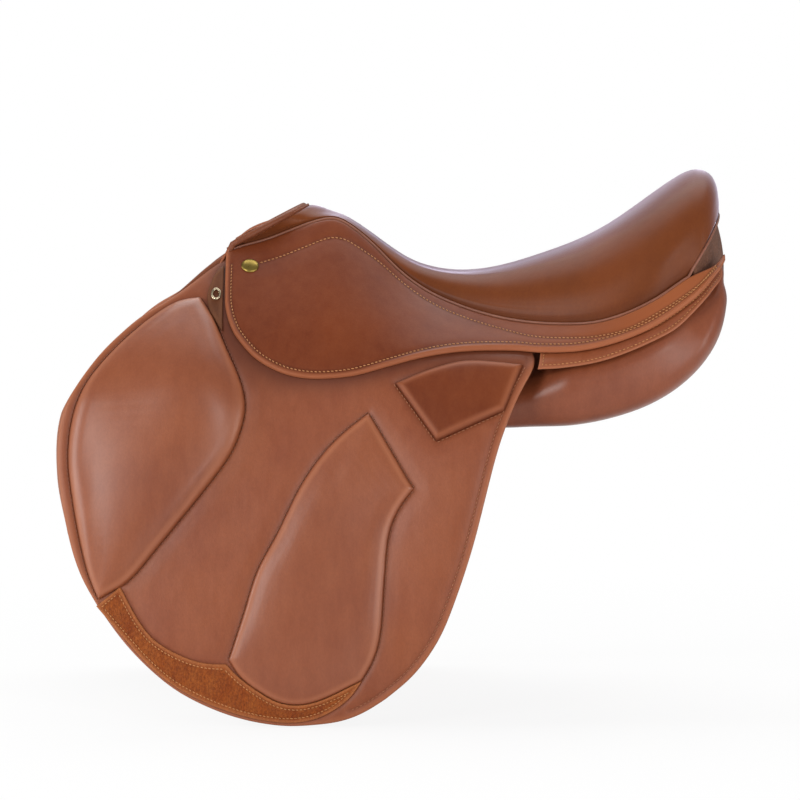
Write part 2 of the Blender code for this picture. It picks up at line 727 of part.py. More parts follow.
def build_under_layers(hand):
    name = side_name(hand)
    add_object("sweat_flap_" + name, sheet(SWEAT_FLAP, SWEAT_IN, SWEAT_OUT, 10, 8, hand), DARK)
    guard = sheet(GUARD, GUARD_IN, GUARD_OUT, 6, 6, hand)
    add_object("buckle_guard_" + name, guard, DARK)
    block = pad(INNER_KNEE_BLOCK, SWEAT_OUT, INNER_BLOCK_HEIGHT, BEDDING, 4, 8, hand)
    add_object("inner_knee_block_" + name, block, DARK)
    tab = sheet(RING_TAB, SKIRT_IN, TAB_OUT, 4, 3, hand)
    add_object("ring_tab_" + name, tab, LEATHER)
    facing_out = FLAP_OUT - SLIP
    facing = sheet(REAR_FACING, facing_out - FACING_LEATHER, facing_out, 20, 2, hand)
    add_object("rear_facing_" + name, facing, LEATHER)


def build_straps(hand):
    for label, centre in zip(STRAP_NAMES, STRAP_CENTRES):
        pivot_z = STRAP_TOP - STRAP_PIVOT_DROP
        pivot = mirrored(side(centre, pivot_z, (STRAP_IN + STRAP_OUT) / 2), hand)
        hinge = empty("strap_hinge_%s_%s" % (label, side_name(hand)), pivot)

        def shape(u, v, w):
            z = STRAP_TOP - STRAP_LENGTH * v
            tip = max(1 - (STRAP_LENGTH * (1 - v)) / STRAP_POINT, 0)
            half = STRAP_WIDTH / 2 * (1 - 0.55 * tip * tip)
            here = side(centre + (2 * u - 1) * half, z, STRAP_IN + (STRAP_OUT - STRAP_IN) * w)
            return mirrored(here, hand)
        strap = slab(shape, 2, 12)
        add_object("girth_strap_%s_%s" % (label, side_name(hand)), strap, DARK, pivot, hinge)


def build_webs(hand):
    # Webbing from under the rail out over the side, and down behind the strap tops
    first = STRAP_CENTRES[0] - STRAP_WIDTH / 2 + WEB_SET_BACK
    last = STRAP_CENTRES[-1] + STRAP_WIDTH / 2 + WEB_BEHIND

    def shape(u, v, w):
        x = first + (last - first) * u
        depth = WEB_IN + (WEB_OUT - WEB_IN) * w
        if v < 0.5:
            return mirrored(side(x, WEB_FOOT + (WEB_BEND - WEB_FOOT) * 2 * v, depth), hand)
        goal = seat(seat_row(x), RAIL_OUTER, -(RAIL_TOP + TREE_WOOD + WEBBING * (1 - w)))
        goal += Vector((x - goal.x, WEB_STEP, -WEB_STEP))
        return mirrored(side(x, WEB_BEND, depth).lerp(goal, 2 * v - 1), hand)
    add_object("girth_web_" + side_name(hand), slab(shape, 5, 8), CANVAS)


def panel_section(row, run):
    x, z, y, half, height, turn = row
    turn = math.radians(turn)
    normal = Vector((-run.z, 0, run.x))
    out = Vector((0, math.cos(turn), 0)) - normal * math.sin(turn)
    up = Vector((0, math.sin(turn), 0)) + normal * math.cos(turn)
    return Vector((x * MM, y * MM, z * MM)), out * (half * MM), up * (height * MM)


def build_panel(hand):
    # A stuffed cushion, round in section, with its top drawn flat against the tree
    count = 14
    bm = bmesh.new()
    rings = []
    cores = [Vector((row[0], 0, row[1])) for row in PANEL]
    for i, row in enumerate(PANEL):
        run = (cores[min(i + 1, len(cores) - 1)] - cores[max(i - 1, 0)]).normalized()
        core, out, up = panel_section(row, run)
        ring = []
        for k in range(count):
            angle = 2 * math.pi * k / count
            wide = math.copysign(abs(math.cos(angle)) ** 0.8, math.cos(angle))
            tall = math.copysign(abs(math.sin(angle)) ** 0.85, math.sin(angle))
            ring.append(bm.verts.new(mirrored(core + out * wide + up * tall, hand)))
        rings.append(ring)
    for a, b in zip(rings, rings[1:]):
        for k in range(count):
            bm.faces.new((a[k], a[(k + 1) % count], b[(k + 1) % count], b[k]))
    bm.faces.new(rings[0])
    bm.faces.new(rings[-1])
    add_object("panel_" + side_name(hand), bm, DARK)


def bar_frame(hand):
    # Level bar: its own axes along x, up the side, and straight out of it
    x = BAR_X + BAR_LENGTH / 2
    out = side_normal(x, BAR_Z)
    out = Vector((0, out.y, out.z)).normalized()
    up = Vector((0, -out.z, out.y))
    origin = side(x, BAR_Z, SKIRT_IN - SLIP - BAR_SINK)
    origin.x = BAR_X
    return mirrored(origin, hand), mirrored(up, hand), mirrored(out, hand)


def set_in_frame(bm, frame):
    # Local x stays, local y goes up the side, local z goes out of it
    origin, up, out = frame
    for vert in bm.verts:
        x, y, z = vert.co
        vert.co = origin + Vector((x, 0, 0)) + up * y + out * z


def build_bar(hand, flap_top):
    name = side_name(hand)
    frame = bar_frame(hand)
    inner = -(BAR_STEEL + BAR_SLOT)
    outline = [
        (0, 0), (BAR_LENGTH, 0), (BAR_LENGTH, -BAR_STEEL), (BAR_ROOT, -BAR_STEEL),
        (BAR_ROOT, inner), (BAR_LENGTH, inner), (BAR_LENGTH, inner - BAR_PLATE),
        (0, inner - BAR_PLATE),
    ]
    bm = prism(outline, BAR_HEIGHT)
    set_in_frame(bm, frame)
    add_object("stirrup_bar_" + name, bm, STEEL)
    hinge_x = BAR_LENGTH + CATCH_GAP + CATCH_STEEL / 2
    blade = [
        (hinge_x - CATCH_STEEL / 2, inner - BAR_PLATE), (hinge_x + CATCH_STEEL / 2, inner - BAR_PLATE),
        (hinge_x + CATCH_STEEL / 2, -0.6 * MM), (hinge_x - CATCH_STEEL / 2, -0.6 * MM),
    ]
    bm = prism(blade, BAR_HEIGHT - 2 * MM)
    set_in_frame(bm, frame)
    origin, up, out = frame
    pin = origin + Vector((hinge_x, 0, 0)) + out * (inner - BAR_PLATE / 2)
    hinge = empty("catch_hinge_" + name, pin)
    add_object("stirrup_catch_" + name, bm, STEEL, pin, hinge)
    window = prism([(-WINDOW_MARGIN, -40 * MM), (BAR_LENGTH + CATCH_ROOM, -40 * MM),
                    (BAR_LENGTH + CATCH_ROOM, 40 * MM), (-WINDOW_MARGIN, 40 * MM)],
                   BAR_HEIGHT + 2 * WINDOW_MARGIN)
    set_in_frame(window, frame)
    subtract(flap_top, window, "bar_window_" + name)


def subtract(target, bm, name):
    cutter = add_object(name, bm, STEEL)
    PARTS.objects.unlink(cutter)
    CUTTERS.objects.link(cutter)
    cutter.hide_render = True
    cutter.display_type = "WIRE"
    cut_modifier = target.modifiers.new(name, "BOOLEAN")
    cut_modifier.operation = "DIFFERENCE"
    cut_modifier.solver = "EXACT"
    cut_modifier.object = cutter


def build_nail(hand, skirt_top, flap_top):
    name = side_name(hand)
    out = side_normal(NAIL_X, NAIL_Z)
    base = side(NAIL_X, NAIL_Z, BEDDING)
    out, base = mirrored(out, hand), mirrored(base, hand)
    turn = Vector((0, 0, 1)).rotation_difference(out).to_matrix().to_4x4()
    place = Matrix.Translation(base) @ turn
    bm = bmesh.new()
    bmesh.ops.create_uvsphere(bm, u_segments=20, v_segments=8, radius=NAIL_RADIUS)
    cut(bm, Vector((0, 0, 0)), Vector((0, 0, -1)))
    bmesh.ops.scale(bm, verts=bm.verts, vec=(1, 1, NAIL_RISE / NAIL_RADIUS))
    flat = max(bm.faces, key=lambda f: len(f.verts))
    shank = BEDDING + SKIRT_LEATHER + SLIP + FLAP_LEATHER
    bmesh.ops.inset_region(bm, faces=[flat], thickness=NAIL_RADIUS - NAIL_SHANK)
    pushed = bmesh.ops.extrude_face_region(bm, geom=[flat])
    bmesh.ops.delete(bm, geom=[flat], context="FACES_ONLY")
    tip = [v for v in pushed["geom"] if isinstance(v, bmesh.types.BMVert)]
    bmesh.ops.translate(bm, verts=tip, vec=(0, 0, -shank))
    bmesh.ops.transform(bm, matrix=place, verts=bm.verts)
    add_object("nail_" + name, bm, BRASS)
    for label, target in (("skirt", skirt_top), ("flap", flap_top)):
        hole = bmesh.new()
        bmesh.ops.create_cone(hole, cap_ends=True, segments=12, radius1=NAIL_SHANK + TOUCH,
                              radius2=NAIL_SHANK + TOUCH, depth=8 * SKIRT_LEATHER)
        bmesh.ops.transform(hole, matrix=place, verts=hole.verts)
        subtract(target, hole, "nail_hole_%s_%s" % (label, name))


def build_ring(hand):
    # A D-shaped ring in front of the skirt, lying on its tab with its straight bar uppermost
    name = side_name(hand)
    out = side_normal(RING_X, RING_Z)
    out = Vector((0, out.y, out.z)).normalized()
    down = Vector((0, out.z, -out.y))
    pivot = side(RING_X, RING_Z, TAB_OUT) + out * (RING_WIRE + TOUCH)
    half = RING_WIDTH / 2
    loop = [(half, 0), (-half, 0)]
    for k in range(9):
        angle = math.pi * (1 + k / 8)
        loop.append((half * math.cos(angle), RING_DROP - half - half * math.sin(angle)))
    points = [mirrored(Vector((x, 0, 0)) + down * r, hand) for x, r in loop]
    ring = tube("front_ring_" + name, points, RING_WIRE, BRASS, cyclic=True, resolution=1)
    ring.parent = empty("ring_hinge_" + name, mirrored(pivot, hand))


def build_side(hand):
    flap_top, _ = build_flap(hand)
    skirt_top, _ = build_skirt(hand)
    build_under_layers(hand)
    build_straps(hand)
    build_webs(hand)
    build_panel(hand)
    build_bar(hand, flap_top)
    build_nail(hand, skirt_top, flap_top)
    build_ring(hand)


clear_scene()
PARTS = bpy.data.collections.new("saddle")
CUTTERS = bpy.data.collections.new("cutters")
bpy.context.scene.collection.children.link(PARTS)
bpy.context.scene.collection.children.link(CUTTERS)
LEATHER = material("tan_leather", (0.30, 0.09, 0.035), 0.38)
DARK = material("under_leather", (0.22, 0.075, 0.035), 0.5)
GRAIN = material("grained_leather", (0.38, 0.12, 0.03), 0.6)
WOOD = material("laminated_wood", (0.45, 0.30, 0.16), 0.6)
FOAM = material("seat_foam", (0.75, 0.70, 0.55), 0.9)
CANVAS = material("webbing", (0.60, 0.55, 0.45), 0.85)
STEEL = material("plated_steel", (0.55, 0.55, 0.56), 0.3, 1.0)
BRASS = material("brass", (0.60, 0.42, 0.14), 0.3, 1.0)
build_tree()
build_seat()
build_welt()
build_head_band()
build_cantle_facing()
for side_hand in (-1, 1):
    build_side(side_hand)
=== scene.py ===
import math

import bmesh
import bpy
import numpy as np
from mathutils import Matrix, Vector


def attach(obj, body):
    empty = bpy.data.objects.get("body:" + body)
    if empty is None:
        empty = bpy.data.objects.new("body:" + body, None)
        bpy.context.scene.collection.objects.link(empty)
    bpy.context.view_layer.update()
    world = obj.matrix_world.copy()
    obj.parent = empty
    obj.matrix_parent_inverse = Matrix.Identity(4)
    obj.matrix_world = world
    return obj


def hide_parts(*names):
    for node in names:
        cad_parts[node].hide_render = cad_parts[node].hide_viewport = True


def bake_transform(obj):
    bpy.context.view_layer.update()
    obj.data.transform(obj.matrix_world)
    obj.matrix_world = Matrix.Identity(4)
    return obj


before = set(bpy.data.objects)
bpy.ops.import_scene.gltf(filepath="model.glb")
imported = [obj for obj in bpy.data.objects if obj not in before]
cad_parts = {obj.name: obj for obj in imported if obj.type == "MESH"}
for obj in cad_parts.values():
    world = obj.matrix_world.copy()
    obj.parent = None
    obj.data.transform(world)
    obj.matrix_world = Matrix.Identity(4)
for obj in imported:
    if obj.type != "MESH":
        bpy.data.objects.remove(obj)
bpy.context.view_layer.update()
sides = {"left": -1, "right": 1}  # the near side is -Y
mm = 0.001


# the shape that every layer of leather follows, in millimetres
saddleShape = {
    # seam between seat and skirt: x, half width, z
    "seam": [
        (-380, 146, 52), (-300, 112, 98), (-261, 93, 118), (-222, 70, 146), (-183, 55, 158),
        (-159, 49, 167), (-139, 46, 174), (-122, 46, 177), (-108, 48, 172), (-86, 53, 155),
        (-57, 62, 127), (-33, 70, 110), (-4, 82, 97), (30, 97, 87), (63, 112, 82),
        (98, 125, 81), (124, 132, 83), (151, 137, 91), (180, 137, 105), (211, 126, 125),
        (230, 117, 133), (244, 99, 139), (252, 78, 144)],
    # seat sections, front to rear: x where it leaves the seam, then the crown's x and z
    "seat": [
        (-222, -150, 186), (-202, -143, 188), (-178, -137, 187), (-158, -131, 185),
        (-138, -126, 182), (-122, -114, 178), (-108, -102, 171), (-86, -82, 157),
        (-57, -56, 139), (-33, -33, 131), (-4, -4, 127), (30, 30, 130), (63, 63, 139),
        (98, 98, 151), (124, 126, 162), (151, 156, 179), (176, 184, 199), (192, 208, 215),
        (200, 224, 222), (206, 238, 218), (209, 244, 203), (211, 246, 184)],
    "seatFullness": 2.6, "seatDish": 6.0, "seatLeather": 2.0, "seatInset": 2.9,
    "dishFrom": 0.3, "dishLength": 0.55, "dishWidth": 0.7,
    # the fold of the leather, and the half width down at the flap's foot
    "foldZ": 26.0, "foldRise": 0.09, "foldX": -120.0, "foldHalf": 165.0, "foldClear": 25.0,
    "bulgeAbove": 0.5, "slopeAtSeam": 1.2, "slopeAtFoot": 0.02,
    "bottomZ": -330.0, "bottomHalf": 226.0, "wrap": 14.0, "wrapX": -150.0, "wrapReach": 240.0}


def unit(t):
    return np.clip(t, 0, 1)


def bell(far, width, power=2):  # 1 at the line itself, fading over about the width
    return np.exp(-(far / width) ** power)


def lengthOf(points):
    return np.linalg.norm(np.diff(np.array(points, float), axis=0), axis=1).sum()


def hermite(a, b, ma, mb, t):
    return (a * (2 * t ** 3 - 3 * t * t + 1) + ma * (t ** 3 - 2 * t * t + t)
            + b * (3 * t * t - 2 * t ** 3) + mb * (t ** 3 - t * t))


def curveAt(points, knots, s):  # a smooth curve through points, at knot value s
    p = np.array(points, float)
    slope = np.empty_like(p)
    slope[1:-1] = (p[2:] - p[:-2]) / (knots[2:] - knots[:-2])[:, None]
    slope[0] = (p[1] - p[0]) / (knots[1] - knots[0])
    slope[-1] = (p[-1] - p[-2]) / (knots[-1] - knots[-2])
    s = np.atleast_1d(np.asarray(s, float))
    i = np.clip(np.searchsorted(knots, s, side="right") - 1, 0, len(p) - 2)
    h = (knots[i + 1] - knots[i])[:, None]
    t = (s - knots[i])[:, None] / h
    inside = hermite(p[i], p[i + 1], slope[i] * h, slope[i + 1] * h, unit(t))
    outside = p[i] + (p[i + 1] - p[i]) * t
    return np.where((t < 0) | (t > 1), outside, inside)


def along(points, t):  # by distance, t from 0 to 1
    p = np.array(points, float)
    knots = np.concatenate([[0], np.cumsum(np.linalg.norm(np.diff(p, axis=0), axis=1))])
    return curveAt(p, knots, unit(t) * knots[-1])


def evenly(points, step):  # the same curve as points about a step apart
    return along(points, np.linspace(0, 1, max(int(round(lengthOf(points) / step)), 2) + 1))


seamRows = np.array(saddleShape["seam"], float)
seatRows = np.array(saddleShape["seat"], float)


def seamAt(x):
    return curveAt(seamRows, seamRows[:, 0], x)


def foldZ(x):
    return saddleShape["foldZ"] + (x - saddleShape["foldX"]) * saddleShape["foldRise"]


def halfWidth(x, z):  # of the side, from the seam out to the fold and down the horse's barrel
    look = saddleShape
    x, z = np.broadcast_arrays(np.atleast_1d(np.asarray(x, float)), np.atleast_1d(np.asarray(z, float)))
    seam, fold, half = seamAt(x), foldZ(x), look["foldHalf"]
    top = np.maximum(seam[:, 2], fold + look["foldClear"])
    run = (seam[:, 1] - half) / (top - fold)
    slope, atSeam = look["bulgeAbove"] * run, look["slopeAtSeam"] * run
    t = (z - fold) / (top - fold)
    upper = hermite(half, seam[:, 1], slope * (top - fold), atSeam * (top - fold), unit(t))
    upper = np.where(t > 1, seam[:, 1] + atSeam * (z - top), upper)
    low = look["bottomHalf"] - look["wrap"] * ((x - look["wrapX"]) / look["wrapReach"]) ** 2
    h = look["bottomZ"] - fold
    lower = hermite(half, low, slope * h, look["slopeAtFoot"] * h, (z - fold) / h)
    return np.where(z > fold, upper, lower)


def sideNormal(x, z):
    dx = halfWidth(x + 0.5, z) - halfWidth(x - 0.5, z)
    dz = halfWidth(x, z + 0.5) - halfWidth(x, z - 0.5)
    n = np.stack([-dx, np.ones_like(dx), -dz], 1)
    return n / np.linalg.norm(n, axis=1)[:, None]


def sideAt(x, z, depth):  # depth is above the skirt's outer face
    x, z = np.atleast_1d(np.asarray(x, float)), np.atleast_1d(np.asarray(z, float))
    p = np.stack([x, halfWidth(x, z), z], 1)
    return p + sideNormal(x, z) * np.atleast_1d(depth)[:, None]


def onSide(p, depth):  # the same for rows of x and z
    return sideAt(p[:, 0], p[:, 1], depth)


def threadRow(p, depth):  # places and normals for a row of stitches
    return onSide(p, depth), sideNormal(p[:, 0], p[:, 1])


def seatRow(u):  # x at the seam, then the crown's x and z
    return curveAt(seatRows, np.arange(len(seatRows), dtype=float), u * (len(seatRows) - 1))


def seatAt(u, v, depth=0.0):  # u runs from pommel to cantle, v from -1 at the left seam to 1 at the right
    look = saddleShape

    def surface(u, v):
        row = seatRow(u)
        edge = seamAt(row[:, 0])
        ex, ey, ez = edge[:, 0], edge[:, 1] - look["seatInset"], edge[:, 2] + look["seatLeather"]
        power = 2 / look["seatFullness"]
        angle = (1 - np.abs(v)) * math.pi / 2
        rise = np.maximum(np.sin(angle), 0) ** power
        out = np.maximum(np.cos(angle), 0) ** power
        dip = look["seatDish"] * np.sin(math.pi * unit((u - look["dishFrom"]) / look["dishLength"]))
        dip = dip * np.maximum(1 - (out / look["dishWidth"]) ** 2, 0)
        return np.stack([ex + (row[:, 1] - ex) * rise, np.sign(v) * ey * out,
                         ez + (row[:, 2] - ez) * rise - dip], 1)

    u, v = np.broadcast_arrays(np.atleast_1d(np.asarray(u, float)), np.atleast_1d(np.asarray(v, float)))
    place = surface(u, v)
    step = 0.004
    w = np.clip(v, -1 + 2 * step, 1 - 2 * step)
    n = np.cross(surface(u + step, w) - surface(u - step, w), surface(u, w + step) - surface(u, w - step))
    n /= np.linalg.norm(n, axis=1)[:, None]
    turned = (n[:, 1] * w < 0) & (np.abs(w) > 0.5)
    n[turned, 1] = 0
    n /= np.linalg.norm(n, axis=1)[:, None]
    return place + n * np.broadcast_to(np.asarray(depth, float), u.shape)[:, None]


def nearestOn(p, lines):  # distance from each point to the nearest line, seen from the side
    a = np.concatenate([line[:-1] for line in lines])
    d = np.concatenate([line[1:] - line[:-1] for line in lines])
    ll = np.maximum((d ** 2).sum(1), 1e-9)
    far = np.empty(len(p))
    batch = 3000  # points at a time, which keeps the tables small
    for k in range(0, len(p), batch):
        q = p[k:k + batch, None]
        t = unit(((q - a) * d).sum(2) / ll)
        far[k:k + batch] = np.sqrt(((q - a - d * t[..., None]) ** 2).sum(2).min(1))
    return far


def insideOf(p, outline):  # distance into a closed outline, negative outside it
    far = nearestOn(p, [outline])
    x, z = p[:, 0], p[:, 1]
    crossed = np.zeros(len(p), bool)
    for (x0, z0), (x1, z1) in zip(outline[:-1], outline[1:]):
        if z0 != z1:
            hit = (z0 > z) != (z1 > z)
            crossed ^= hit & (x < (x1 - x0) * (z - z0) / (z1 - z0) + x0)
    return np.where(crossed, far, -far)


def closed(runs, step=4):  # one outline from several smooth runs that meet at corners
    ring = np.concatenate([evenly(run, step)[:-1] for run in runs])
    return np.concatenate([ring, ring[:1]])


def inset(run, gap, step=4):  # a line beside a run, gap to its right-hand side
    p = evenly(run, step)
    d = np.gradient(p, axis=0)
    d /= np.linalg.norm(d, axis=1)[:, None]
    return p + np.stack([d[:, 1], -d[:, 0]], 1) * gap


def coons(runs, u, v):  # fills the space between four runs that go round it
    low, right, top, left = runs
    a, b, c, d = along(low, u), along(right, v), along(top, 1 - u), along(left, 1 - v)
    p00, p10, p11, p01 = (np.array(run[0], float) for run in runs)
    u, v = u[:, None], v[:, None]
    return (a * (1 - v) + c * v + d * (1 - u) + b * u
            - p00 * (1 - u) * (1 - v) - p10 * u * (1 - v) - p11 * u * v - p01 * (1 - u) * v)


def gridLines(length, step, close=(0.0, 0.35, 1.0, 2.1)):  # close lines round the rim, then even ones
    rim = np.array(close) / length
    margin = 4.2 / length
    middle = np.linspace(margin, 1 - margin, max(int(length / step), 2))
    return np.concatenate([rim, middle, 1 - rim[::-1]])


def newPiece(name, bm, mat):
    bmesh.ops.recalc_face_normals(bm, faces=bm.faces)
    for face in bm.faces:
        face.smooth = True
    mesh = bpy.data.meshes.new(name)
    bm.to_mesh(mesh)
    bm.free()
    mesh.materials.append(mat)
    piece = bpy.data.objects.new(name, mesh)
    bpy.context.scene.collection.objects.link(piece)
    return piece


def flatSheet(us, vs):  # a flat sheet with two faces, and each corner's line along, line across and face
    bm = bmesh.new()
    bmesh.ops.create_grid(bm, x_segments=len(us) - 1, y_segments=len(vs) - 1, size=0.5)
    lid = bmesh.ops.extrude_face_region(bm, geom=bm.faces[:])
    top = [g for g in lid["geom"] if isinstance(g, bmesh.types.BMVert)]
    bmesh.ops.translate(bm, verts=top, vec=(0, 0, 1))
    co = np.array([v.co for v in bm.verts])
    i = np.rint((co[:, 0] + 0.5) * (len(us) - 1)).astype(int)
    k = np.rint((co[:, 1] + 0.5) * (len(vs) - 1)).astype(int)
    return bm, i, k, co[:, 2]


def moveTo(bm, places):
    for vert, spot in zip(bm.verts, places):
        vert.co = spot


shapeCache = {}


def leatherSheet(name, us, vs, shape, mat, hand=1):
    # shape gives the places, and how near each is to a rim and to a groove
    bm, i, k, face = flatSheet(us, vs)
    key = name.removesuffix("_left").removesuffix("_right")  # the two sides share one shape
    if key not in shapeCache:
        shapeCache[key] = shape(us[i], vs[k], face)
    place, rim, groove = shapeCache[key]
    moveTo(bm, place * np.array([1, hand, 1]) * mm)
    piece = newPiece(name, bm, mat)
    for label, values in (("rim", rim), ("groove", groove)):
        mark = piece.data.attributes.new(label, "FLOAT", "POINT")
        mark.data.foreach_set("value", np.asarray(values, np.float32))
    return piece


def finished(piece, body, nodes=()):
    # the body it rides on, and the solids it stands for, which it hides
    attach(piece, body)
    if nodes:
        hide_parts(*nodes)


def roundedRim(d, thickness):  # how far each face draws in near the rim
    r = thickness * 0.46  # just under half, so that the two faces never meet
    return r - np.sqrt(np.maximum(r * r - np.clip(r - d, 0, r) ** 2, 0))


def tubePiece(name, points, radius, mat, closedLoop=False, sidesRound=12):
    # a round edge or wire through points; the radius is one number or one a point
    p = np.array(points, float)
    bm = bmesh.new()
    tangent = np.gradient(p, axis=0)
    if closedLoop:
        tangent = np.roll(p, -1, 0) - np.roll(p, 1, 0)
    up = Vector((0, 0, 1))
    rings = []
    for k in range(len(p)):
        t = Vector(tangent[k]).normalized()
        if abs(t.dot(up)) > 0.95:  # nearly upright here
            up = Vector((0, 1, 0))
        up = (up - t * up.dot(t)).normalized()
        turn = Matrix((up, t.cross(up), t)).transposed().to_4x4()
        size = radius if np.isscalar(radius) else radius[k]
        place = Matrix.Translation(Vector(p[k])) @ turn @ Matrix.Diagonal((size, size, 1, 1))
        made = bmesh.ops.create_circle(bm, segments=sidesRound, radius=1, matrix=place)
        rings.append(made["verts"])
    pairs = list(zip(rings, rings[1:])) + ([(rings[-1], rings[0])] if closedLoop else [])
    for a, b in pairs:
        for k in range(sidesRound):
            bm.faces.new((a[k], a[(k + 1) % sidesRound], b[(k + 1) % sidesRound], b[k]))
    if not closedLoop:
        bm.faces.new(rings[0])
        bm.faces.new(rings[-1])
    return newPiece(name, bm, mat)


def stitches(name, rows, hand, mat, look):
    # threads laid along rows of places and normals
    bm = bmesh.new()
    for places, normals in rows:
        step = np.linalg.norm(np.diff(places, axis=0), axis=1)
        reach = np.concatenate([[0], np.cumsum(step)])
        for k in range(int(reach[-1] / look["pitch"])):
            s = (k + 0.5) * look["pitch"]
            i = int(np.clip(np.searchsorted(reach, s) - 1, 0, len(step) - 1))
            f = (s - reach[i]) / max(step[i], 1e-9)
            spot = Vector(places[i] + (places[i + 1] - places[i]) * f)
            run = Vector(places[i + 1] - places[i]).normalized()
            out = Vector(normals[i]).normalized()
            run = (run - out * run.dot(out)).normalized()
            run.rotate(Matrix.Rotation(look["slant"], 3, out))
            turn = Matrix((run, out.cross(run), out)).transposed().to_4x4()
            size = Matrix.Diagonal((look["length"] / 2, look["width"] / 2, look["width"] / 2.4, 1))
            put = Matrix.Diagonal((mm, mm * hand, mm, 1)) @ Matrix.Translation(spot) @ turn @ size
            bmesh.ops.create_icosphere(bm, subdivisions=1, radius=1, matrix=put)
    return newPiece(name, bm, mat)


class Wire:  # a node's output that can be used in sums
    def __init__(self, graph, socket):
        self.graph, self.socket = graph, socket

    def __add__(self, other):
        return self.graph.sum("ADD", self, other)

    def __sub__(self, other):
        return self.graph.sum("SUBTRACT", self, other)

    def __rsub__(self, other):
        return self.graph.sum("SUBTRACT", other, self)

    def __mul__(self, other):
        return self.graph.sum("MULTIPLY", self, other)

    __radd__ = __add__
    __rmul__ = __mul__


class Graph:
    def __init__(self, name):
        self.mat = bpy.data.materials.new(name)
        self.mat.use_nodes = True
        self.tree = self.mat.node_tree
        self.shader = self.tree.nodes["Principled BSDF"]

    def put(self, socket, value):
        if isinstance(value, Wire):
            self.tree.links.new(value.socket, socket)
        elif value is not None:
            if socket.type == "RGBA" and len(value) == 3:
                value = (*value, 1)
            socket.default_value = value

    def node(self, kind, settings=None, inputs=None, output=0):
        made = self.tree.nodes.new(kind)
        for key, value in (settings or {}).items():
            setattr(made, key, value)
        for key, value in (inputs or {}).items():
            self.put(made.inputs[key], value)
        return Wire(self, made.outputs[output])

    def sum(self, operation, a, b):
        return self.node("ShaderNodeMath", {"operation": operation}, {0: a, 1: b})

    def clamp(self, value, low, high, to0=0.0, to1=1.0):  # from low..high to to0..to1, held at both ends
        return self.node("ShaderNodeMapRange", {"clamp": True},
                         {"Value": value, "From Min": low, "From Max": high, "To Min": to0, "To Max": to1})

    def blend(self, amount, a, b, way="MIX"):
        return self.node("ShaderNodeMix", {"data_type": "RGBA", "blend_type": way}, {0: amount, 6: a, 7: b}, 2)

    def place(self, scale=(1, 1, 1)):  # where the surface is on the object
        spot = self.node("ShaderNodeTexCoord", output=3)
        return self.node("ShaderNodeMapping", None, {"Vector": spot, "Scale": scale})

    def noise(self, scale, detail=3, rough=0.5, stretch=(1, 1, 1)):
        return self.node("ShaderNodeTexNoise", None, {
            "Vector": self.place(stretch), "Scale": scale, "Detail": detail, "Roughness": rough})

    def mark(self, name):
        return self.node("ShaderNodeAttribute", {"attribute_name": name}, output=2)

    def bump(self, height, strength, distance, normal=None):
        return self.node("ShaderNodeBump", None, {
            "Strength": strength, "Distance": distance, "Height": height, "Normal": normal})

    def finish(self, **sockets):
        for key, value in sockets.items():
            self.put(self.shader.inputs[key.replace("_", " ")], value)
        return self.mat


def leather(name, look):
    look = {"mottle": 13, "streak": 0.35, "speckle": 0.16, "rimShare": 0.75, "grooveShare": 0.5,
            "coat": 0.0, "coatRough": 0.42, "gloss": 0.5, **look}
    g = Graph(name)
    for key, socket in (("sheen", "Sheen Weight"), ("sheenRough", "Sheen Roughness"),
                        ("sheenTint", "Sheen Tint")):
        if key in look:
            g.put(g.shader.inputs[socket], look[key])
    broad = g.clamp(g.noise(look["mottle"], 3, 0.55), 0.3, 0.7)
    streak = g.clamp(g.noise(60, 3, 0.6, (1.6, 1.6, 0.5)), 0.3, 0.72)
    fine = g.clamp(g.noise(650, 2, 0.6, (1, 1, 0.55)), 0.3, 0.7)
    tone = g.blend(broad, look["deep"], look["warm"])
    tone = g.blend(streak * look["streak"], tone, look["pale"])
    tone = g.blend(fine * look["speckle"], tone, look["dark"])
    if "paintedLight" in look:  # painted light: paler towards the rear, where more light falls
        spot = g.node("ShaderNodeSeparateXYZ", None, {0: g.place()})
        tone = g.blend(g.clamp(spot, *look["paintedLightRun"]), tone, look["paintedLight"])
    rim = g.mark("rim")
    tone = g.blend(rim * look["rimShare"], tone, look["rim"])
    # the groove mark darkens the stitch grooves; on the flap it also carries painted shade beside the skirt
    tone = g.blend(g.mark("groove") * look["grooveShare"], tone, look["dark"])
    cells = g.node("ShaderNodeTexVoronoi", {"feature": "SMOOTH_F1"}, {
        "Vector": g.place((1, 1, 0.8)), "Scale": look["grain"], "Smoothness": 0.6})
    pores = g.noise(look["grain"] * 1.7, 3, 0.6)
    creases = g.noise(150, 4, 0.62, (1, 1, 0.4))
    first = g.bump(cells * 0.8 + pores * 0.5, look["grainStrength"], look["grainDepth"])
    second = g.bump(creases, 0.25, 0.0006, first)
    rough = g.clamp(broad * 0.5 + fine * 0.5, 0, 1, look["rough"] - 0.05, look["rough"] + 0.08)
    return g.finish(Base_Color=tone, Roughness=rough + rim * 0.04, Normal=second, Coat_Weight=look["coat"],
                    Coat_Roughness=look["coatRough"], Specular_IOR_Level=look["gloss"])


